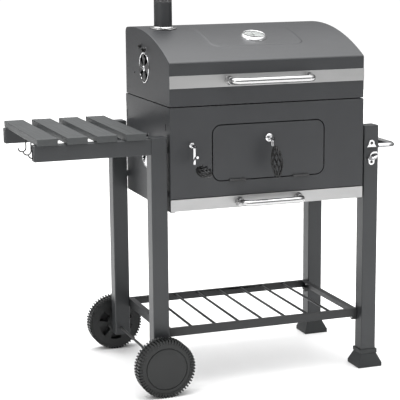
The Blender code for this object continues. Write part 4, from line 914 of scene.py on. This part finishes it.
# ---------------------------------------------------------------------- firebox
def make_door():
    """Loading door with round corners, hung on two small three-knuckle hinges."""
    low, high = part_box("loading_door")
    axis = Vector(joint_named("door_hinge")["pos_m"])
    front = high.y - SHEET
    corner = 0.025
    plate = block("door_plate", (low.x, front, axis.z + 0.0015), high)
    shape(plate, "EDGE")
    pick("edges", lambda edge: span(edge, 1) > SHEET / 2)
    bpy.ops.mesh.bevel(offset=corner, segments=10)
    finish_shape()
    soften(plate, 0.0004, 2)
    smooth(plate)
    fit(plate, "door", PAINT, "anthracite_paint", "loading_door")
    knuckle, gap, radius, pin_radius, pin_length = 0.0169, 0.0003, 0.0032, 0.0015, 0.0535
    leaf = axis.y + 0.0018
    swinging = []
    for label in ("left", "right"):
        node_low, node_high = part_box("door_hinge_" + label)
        middle = (node_low.x + node_high.x) / 2
        for way in (-1, 1):
            place = Vector((middle + way * (knuckle + gap), axis.y, axis.z))
            barrel = drum("door_knuckle", place, X, radius, knuckle, 24)
            tab = block("knuckle_tab", (place.x - knuckle / 2, leaf, axis.z),
                        (place.x + knuckle / 2, front + 0.0002, axis.z + 0.0052))
            for piece in (barrel, tab):
                soften(piece, 0.0003)
            swinging += [barrel, tab]
        barrel = drum("fixed_knuckle", (middle, axis.y, axis.z), X, radius, knuckle, 24)
        tab = block("knuckle_tab", (middle - knuckle / 2, leaf, axis.z - 0.0056),
                    (middle + knuckle / 2, front - 0.0001, axis.z))
        pin = drum("hinge_pin", (middle, axis.y, axis.z), X, pin_radius, pin_length, 20)
        for piece in (barrel, tab, pin):
            soften(piece, 0.0003)
        hinge = weld([barrel, tab, pin], "door_hinge_barrel_" + label)
        smooth(hinge)
        fit(hinge, "base", BLACKED, "black_steel", "door_hinge_" + label)
    knuckles = weld(swinging, "door_knuckles")
    smooth(knuckles)
    fit(knuckles, "door", BLACKED, "black_steel")


def make_firebox():
    """Panels, grates, tray and its lift, drawer, and the lid's rear hinges."""
    plain = [("front_panel", "base", PAINT, "anthracite_paint", 0.0003, 2, True),
             ("rear_panel", "base", PAINT, "anthracite_paint", 0.0003, 2, True),
             ("side_panel_left", "base", PAINT, "anthracite_paint", 0.0003, 2, True),
             ("side_panel_right", "base", PAINT, "anthracite_paint", 0.0003, 2, True),
             ("cooking_grate_left", "base", GRATE, "grate_iron", 0.0013, 3, False),
             ("cooking_grate_right", "base", GRATE, "grate_iron", 0.0013, 3, False),
             ("charcoal_tray", "lift", ENAMEL, "black_enamel", 0.0005, 2, False),
             ("lift_carriage", "lift", PLAIN, "plain_steel", 0.0004, 2, False),
             ("pinion_front", "crank", PLAIN, "plain_steel", 0.0003, 2, False),
             ("pinion_rear", "crank", PLAIN, "plain_steel", 0.0003, 2, False),
             ("rack_guide_front", "base", BLACKED, "black_steel", 0.0005, 2, False),
             ("rack_guide_rear", "base", BLACKED, "black_steel", 0.0005, 2, False),
             ("lid_hinge_left", "lid", BLACKED, "black_steel", 0.0004, 2, False),
             ("body_hinge_left", "base", BLACKED, "black_steel", 0.0004, 2, False),
             ("lid_hinge_right", "lid", BLACKED, "black_steel", 0.0004, 2, False),
             ("body_hinge_right", "base", BLACKED, "black_steel", 0.0004, 2, False),
             ("ash_drawer", "drawer", PAINT, "anthracite_paint", 0.0005, 2, False),
             ("drawer_front", "drawer", STEEL, "brushed_stainless", 0.0006, 3, False)]
    for node, body, material, slot, edge, segments, split in plain:
        fit(refined(node, edge, segments, split), body, material, slot, node)


# --------------------------------------------------------------- legs and wheels
def make_leg(node):
    """Square tube with round corners, closed on top, open below."""
    low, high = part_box(node)
    leg = block(node + "_tube", low, high)
    shape(leg, "EDGE")
    corner, wall, hollow, rim = 0.0032, 0.0016, 0.05, 0.0012
    pick("edges", lambda edge: span(edge, 2) > 0.1)
    bpy.ops.mesh.bevel(offset=corner, segments=4)
    pick("faces", lambda face: face.normal.z < -0.9)
    bpy.ops.mesh.inset(thickness=wall)
    pull((0, 0, hollow))
    pick("edges", lambda edge: all(v.co.z > high.z - 0.0001 for v in edge.verts))
    bpy.ops.mesh.bevel(offset=rim, segments=3)
    finish_shape()
    smooth(leg, 32)
    fit(leg, "base", LEG_PAINT, "anthracite_paint", node)


def make_feet():
    """Flared plastic feet of the right-hand legs."""
    for node in ("foot_front_right", "foot_rear_right"):
        fit(refined(node, 0.0012, 3), "base", FOOT, "black_plastic", node)


def make_wheel(node, body, outward):
    """Moulded wheel: two rows of tread blocks, plain hub cap, pocketed inner side."""
    pivot = Vector(joint_named(node + "_spin")["pos_m"])
    teeth = 57
    radius, width = 0.088, 0.042
    root, rim = radius - 0.0052, 0.0085
    wheel = drum(node + "_moulding", pivot, -Y, root, width, 4 * teeth)
    face = pivot.y + outward * width / 2
    inner = pivot.y - outward * width / 2

    def sector(item):
        """Which quarter of a tread block's pitch a face is in."""
        middle = item.calc_center_median()
        turn = math.atan2(middle.z - pivot.z, middle.x - pivot.x) / (2 * math.pi)
        return math.floor(turn * 4 * teeth) % 4

    def step_rings(start, rings, datum):
        """Pull the selected disc through rings of (radius, distance out of a datum)."""
        here = start
        for wide, out in rings:
            pull((0, 0, 0))
            if wide != here:
                size(wide / here, pivot)
            here = wide
            cage = bmesh.from_edit_mesh(wheel.data)
            for vert in cage.verts:
                if vert.select:
                    vert.co.y = datum + outward * out
            bmesh.update_edit_mesh(wheel.data)

    shape(wheel)
    for cut in (-0.0025, 0.0025):
        bpy.ops.mesh.select_all(action="SELECT")
        bpy.ops.mesh.bisect(plane_co=(0, pivot.y + cut, 0), plane_no=(0, 1, 0))
    pick("faces", lambda item: abs(item.normal.y) < 0.3
         and abs(item.calc_center_median().y - pivot.y) > 0.004
         and sector(item) in ((1, 2) if item.calc_center_median().y > pivot.y else (0, 1)))
    bpy.ops.mesh.extrude_region_move()
    size((radius / root, 1, radius / root), pivot)
    pick("faces", lambda item: len(item.verts) > 8 and item.normal.y * outward > 0.9)
    bpy.ops.mesh.inset(thickness=rim)
    pick("faces", lambda item: item.normal.y * outward > 0.9 and len(item.verts) < 8
         and sector(item) in ((1, 2) if outward > 0 else (0, 1)))
    pull((0, outward * 0.0026, 0))
    pick("faces", lambda item: len(item.verts) > 8 and item.normal.y * outward > 0.9)
    step_rings(root - rim, ((0.0640, 0.0002), (0.0632, -0.0018), (0.0618, -0.0018),
                            (0.0606, 0.0008), (0.0560, 0.0016), (0.0300, 0.0024)), face)
    pick("faces", lambda item: len(item.verts) > 8 and item.normal.y * outward < -0.9)
    step_rings(root, ((0.0800, 0.0), (0.0790, 0.0012), (0.0560, 0.0012), (0.0270, 0.0012),
                      (0.0150, 0.0), (0.0145, -0.0175), (0.0043, -0.0175), (0.0043, 0.034)),
               inner)

    def pocket(item):
        """Faces of the six pockets between the inner side's spokes."""
        middle = item.calc_center_median()
        far = math.hypot(middle.x - pivot.x, middle.z - pivot.z)
        turn = math.degrees(math.atan2(middle.z - pivot.z, middle.x - pivot.x)) % 60
        return item.normal.y * outward < -0.9 and 0.029 < far < 0.054 and 11 < turn < 49

    pick("faces", pocket)
    pull((0, outward * 0.020, 0))
    finish_shape()
    smooth(wheel, 34)
    fit(wheel, body, TYRE, "black_plastic", node)


def make_axle():
    """Axle rod under the left-hand legs."""
    fit(refined("axle", 0.0005), "base", BLACKED, "plain_steel", "axle")


def make_shelf():
    """Wire shelf and the bolts at its corners."""
    fit(refined("wire_shelf", 0.0004), "base", SHELF_PAINT, "anthracite_paint", "wire_shelf")
    low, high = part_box("wire_shelf")
    bolts = []
    for across, way in ((low.x + 0.002, 1), (high.x - 0.002, -1)):
        for depth in (low.y + 0.012, high.y - 0.014):
            place = (across, depth, high.z - 0.013)
            bolts.append(screw_head("shelf_bolt", place, X * way, 0.0045))
    bolts = weld(bolts, "shelf_bolts")
    fit(bolts, "base", SATIN_CHROME, "chrome_trim")


# -------------------------------------------------------------------- side table
def make_rail(node):
    """Rail pressed from sheet, its left end closed by a cap with a raised middle rib."""
    low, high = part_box(node)
    rail = block(node + "_tube", low, high)
    shape(rail, "EDGE")
    corner, wall, half = 0.0022, 0.0018, 0.0035
    pick("edges", lambda edge: span(edge, 0) > 0.1)
    bpy.ops.mesh.bevel(offset=corner, segments=3)
    pick("faces", lambda face: face.normal.x < -0.9)
    bpy.ops.mesh.inset(thickness=wall)
    pull((corner, 0, 0))
    finish_shape()
    middle = (low.y + high.y) / 2
    rib = block("rail_rib", (low.x + 0.0004, middle - half, low.z + corner),
                (low.x + 0.0030, middle + half, high.z - corner))
    soften(rib, 0.0008, 2)
    rail = weld([rail, rib], node + "_tube")
    smooth(rail, 32)
    fit(rail, "base", LEG_PAINT, "anthracite_paint", node)


def make_table():
    """Two rails and the four slats across them."""
    for node in ("table_rail_front", "table_rail_rear"):
        make_rail(node)
    for count in range(1, 5):
        node = "table_slat_%d" % count
        fit(refined(node, 0.0012, 3), "base", BOARD, "slate_painted_wood", node)


def make_hook(node):
    """Hook bent from wire, hanging from the table's front rail."""
    low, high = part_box(node)
    radius = 0.002
    depth = (low.y + high.y) / 2
    across = high.x - radius
    bend = (high.x - low.x) / 2 - radius
    level = low.z + radius + bend
    hook = bar(node + "_wire", radius, (across, depth, high.z), -Z,
               [Vector((0, 0, level - high.z)), ((across - bend, depth, level), Y, 180)], 16)
    smooth(hook, 50)
    fit(hook, "base", WIRE, "black_wire", node)


def make_opener():
    """Cast opener: two screw lugs, and a scoop with its hoop reaching forward between them."""
    low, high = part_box("bottle_opener")
    across, wall = (low.x + high.x) / 2, high.y
    upper, lower = high.z - 0.0110, low.z + 0.0110
    castings = []
    for height, way, wide in ((upper, -1, 0.0165), (lower, 1, 0.0140)):
        lug = disc("opener_lug", (across, wall, height), -Y, 0.0100, 28)
        shape(lug, "EDGE")
        pick("verts", lambda vert: (vert.co.z - height) * way > 0.0035)
        size((1, 1, 0), (across, wall, height + way * 0.0125))
        cage = bmesh.from_edit_mesh(lug.data)
        flat = sorted((v for v in cage.verts if v.select), key=lambda v: v.co.x)
        for count, vert in enumerate(flat):
            vert.co.x = across - wide + 2 * wide * count / (len(flat) - 1)
        bmesh.update_edit_mesh(lug.data)
        bpy.ops.mesh.select_mode(type="FACE")
        bpy.ops.mesh.select_all(action="SELECT")
        pull((0, -0.0034, 0))
        finish_shape()
        carve(lug, drum("hole", (across, wall, height), Y, 0.0043, 0.02, 28))
        soften(lug, 0.0008, 3, 50)
        castings.append(lug)
    rise = Vector((0, -0.73, 0.683))
    normal = X.cross(rise)
    turn, run, half = 0.0100, 0.0240, 0.0125
    start = Vector((across - half, wall - 0.0022, lower + 0.0090))
    corner = start + rise * run
    castings.append(bar("opener_hoop", 0.0027, start, rise,
                        [rise * run, (corner + X * turn, normal, -90), X * 2 * (half - turn),
                         (corner + X * (2 * half - turn), normal, -90), -rise * run], 16))
    scoop = block("opener_scoop", (-half, -0.0011, 0), (half, 0.0011, run * 0.80))
    shape(scoop)
    bpy.ops.mesh.select_all(action="SELECT")
    bpy.ops.mesh.subdivide(number_cuts=7)
    cage = bmesh.from_edit_mesh(scoop.data)
    for vert in cage.verts:
        share = vert.co.x / half
        vert.co.y += 0.0042 * (1 - share * share)
        vert.co.z -= 0.0050 * (1 - share * share) * vert.co.z / (run * 0.80)
    bmesh.update_edit_mesh(scoop.data)
    finish_shape()
    lay = Matrix((X, normal, rise)).transposed().to_4x4()
    scoop.data.transform(Matrix.Translation(start + X * half) @ lay)
    castings.append(scoop)
    opener = weld(castings, "opener_casting")
    smooth(opener, 40)
    fit(opener, "base", CHROME, "chrome_trim", "bottle_opener")
    screws = weld([screw_head("opener_screw", (across, wall + 0.0002, height), -Y, 0.0040)
                   for height in (upper, lower)], "opener_screws")
    fit(screws, "base", BLACKED, "black_steel")


def make_shelf_brackets():
    """Folded tab and bolt that hold each right-hand corner of the shelf to its leg."""
    low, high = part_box("wire_shelf")
    tabs, bolts = [], []
    for depth in (low.y + 0.004, high.y - 0.024):
        tab = block("shelf_tab", (high.x - 0.0125, depth, low.z - 0.012),
                    (high.x - 0.0004, depth + 0.020, low.z + 0.004))
        shape(tab, "EDGE")
        pick("edges", lambda edge: all(v.co.z < low.z - 0.011 for v in edge.verts)
             and abs(edge.verts[0].co.x - edge.verts[1].co.x) > 0.005)
        bpy.ops.mesh.bevel(offset=0.006, segments=4)
        finish_shape()
        soften(tab, 0.0006, 2)
        tabs.append(tab)
        bolts.append(screw_head("shelf_bolt", (high.x - 0.0124, depth + 0.010, low.z - 0.004),
                                -X, 0.0042))
    tabs = weld(tabs, "shelf_tabs")
    smooth(tabs)
    fit(tabs, "base", BLACKED, "black_steel")
    bolts = weld(bolts, "shelf_tab_bolts")
    fit(bolts, "base", SATIN_CHROME, "chrome_trim")


# ---------------------------------------------------------------------- the whole
make_lid()
make_band()
make_lid_trim()
handle("lid_bar", "lid_handle", "lid")
handle("drawer_bar", "drawer_handle", "drawer")
make_push_bar()
make_latch()
make_crank()
make_gauge()
make_chimney()
make_vent("lid_vent", "lid_vent")
make_vent("body_vent", "body_vent")
make_firebox()
make_door()
for name in ("leg_front_left", "leg_rear_left", "leg_front_right", "leg_rear_right"):
    make_leg(name)
make_feet()
make_wheel("wheel_front", "front_wheel", -1)
make_wheel("wheel_rear", "rear_wheel", 1)
make_axle()
make_shelf()
make_shelf_brackets()
make_table()
for name in ("table_hook_1", "table_hook_2", "table_hook_3"):
    make_hook(name)
make_opener()


# ------------------------------------------------------- studio, lights, camera
def make_studio():
    """Pale floor, and a sky that is bright overhead, dim at the sides and white behind."""
    clear()
    bpy.ops.mesh.primitive_plane_add(size=14, location=(0, 0, -0.0005))
    floor = settle("studio_floor")
    finish = Finish("studio floor", (0.88, 0.88, 0.88), 0.8)
    finish.tint(finish.noise(0.6), 0.995, 1.005)
    floor.data.materials.append(finish.material)
    world = bpy.data.worlds.new("studio")
    bpy.context.scene.world = world
    world.use_nodes = True
    tree = world.node_tree
    sky = tree.nodes["Background"]
    sky.inputs["Strength"].default_value = 4.7
    place = tree.nodes.new("ShaderNodeTexCoord")
    split = tree.nodes.new("ShaderNodeSeparateXYZ")
    tree.links.new(place.outputs["Generated"], split.inputs["Vector"])
    shade = tree.nodes.new("ShaderNodeValToRGB")
    levels = ((0.0, 0.06), (0.5, 0.03), (0.75, 0.10), (0.90, 0.55), (1.0, 0.90))
    for at, level in levels[2:]:
        shade.color_ramp.elements.new(at)
    for element, (at, level) in zip(shade.color_ramp.elements, levels):
        element.position = at
        element.color = (level, level, level, 1)
    lift = tree.nodes.new("ShaderNodeMapRange")
    lift.inputs["From Min"].default_value = -1
    tree.links.new(split.outputs["Z"], lift.inputs["Value"])
    tree.links.new(lift.outputs["Result"], shade.inputs["Fac"])
    white = tree.nodes.new("ShaderNodeBackground")
    white.inputs["Color"].default_value = (1, 1, 1, 1)
    white.inputs["Strength"].default_value = 1.05
    path = tree.nodes.new("ShaderNodeLightPath")
    mix = tree.nodes.new("ShaderNodeMixShader")
    tree.links.new(shade.outputs["Color"], sky.inputs["Color"])
    tree.links.new(path.outputs["Is Camera Ray"], mix.inputs["Fac"])
    tree.links.new(sky.outputs["Background"], mix.inputs[1])
    tree.links.new(white.outputs["Background"], mix.inputs[2])
    tree.links.new(mix.outputs["Shader"], tree.nodes["World Output"].inputs["Surface"])


def soft_box(name, place, width, power):
    """Square light aimed at the middle of the trolley."""
    light = bpy.data.lights.new(name, "AREA")
    light.shape = "SQUARE"
    light.size = width
    light.energy = power
    obj = bpy.data.objects.new(name, light)
    bpy.context.scene.collection.objects.link(obj)
    obj.location = place
    obj.rotation_euler = aim(Vector(place) - Z * 0.6)


def make_camera():
    """A long lens a little above the lid, to the left of the front."""
    turn, dip, roll = math.radians(19.815), math.radians(10.894), math.radians(-0.480)
    ahead = Vector((math.sin(turn) * math.cos(dip), math.cos(turn) * math.cos(dip),
                    -math.sin(dip)))
    right = Vector((math.cos(turn), -math.sin(turn), 0))
    above = right.cross(ahead)
    right, above = (right * math.cos(roll) + above * math.sin(roll),
                    above * math.cos(roll) - right * math.sin(roll))
    lens = bpy.data.cameras.new("camera")
    lens.sensor_width = 36
    lens.lens = 121.73
    lens.clip_end = 60
    camera = bpy.data.objects.new("camera", lens)
    bpy.context.scene.collection.objects.link(camera)
    rows = Matrix((right, above, -ahead)).transposed().to_4x4()
    camera.matrix_world = Matrix.Translation((-1.40435, -3.8498, 1.3259)) @ rows
    bpy.context.scene.camera = camera


make_studio()
soft_box("overhead", (-0.3, 0.2, 3.4), 2.4, 40)
soft_box("left", (-3.4, -1.6, 2.0), 1.8, 22)
soft_box("right", (2.6, -2.6, 1.8), 1.4, 6)
make_camera()
bpy.context.scene.view_settings.view_transform = "Standard"
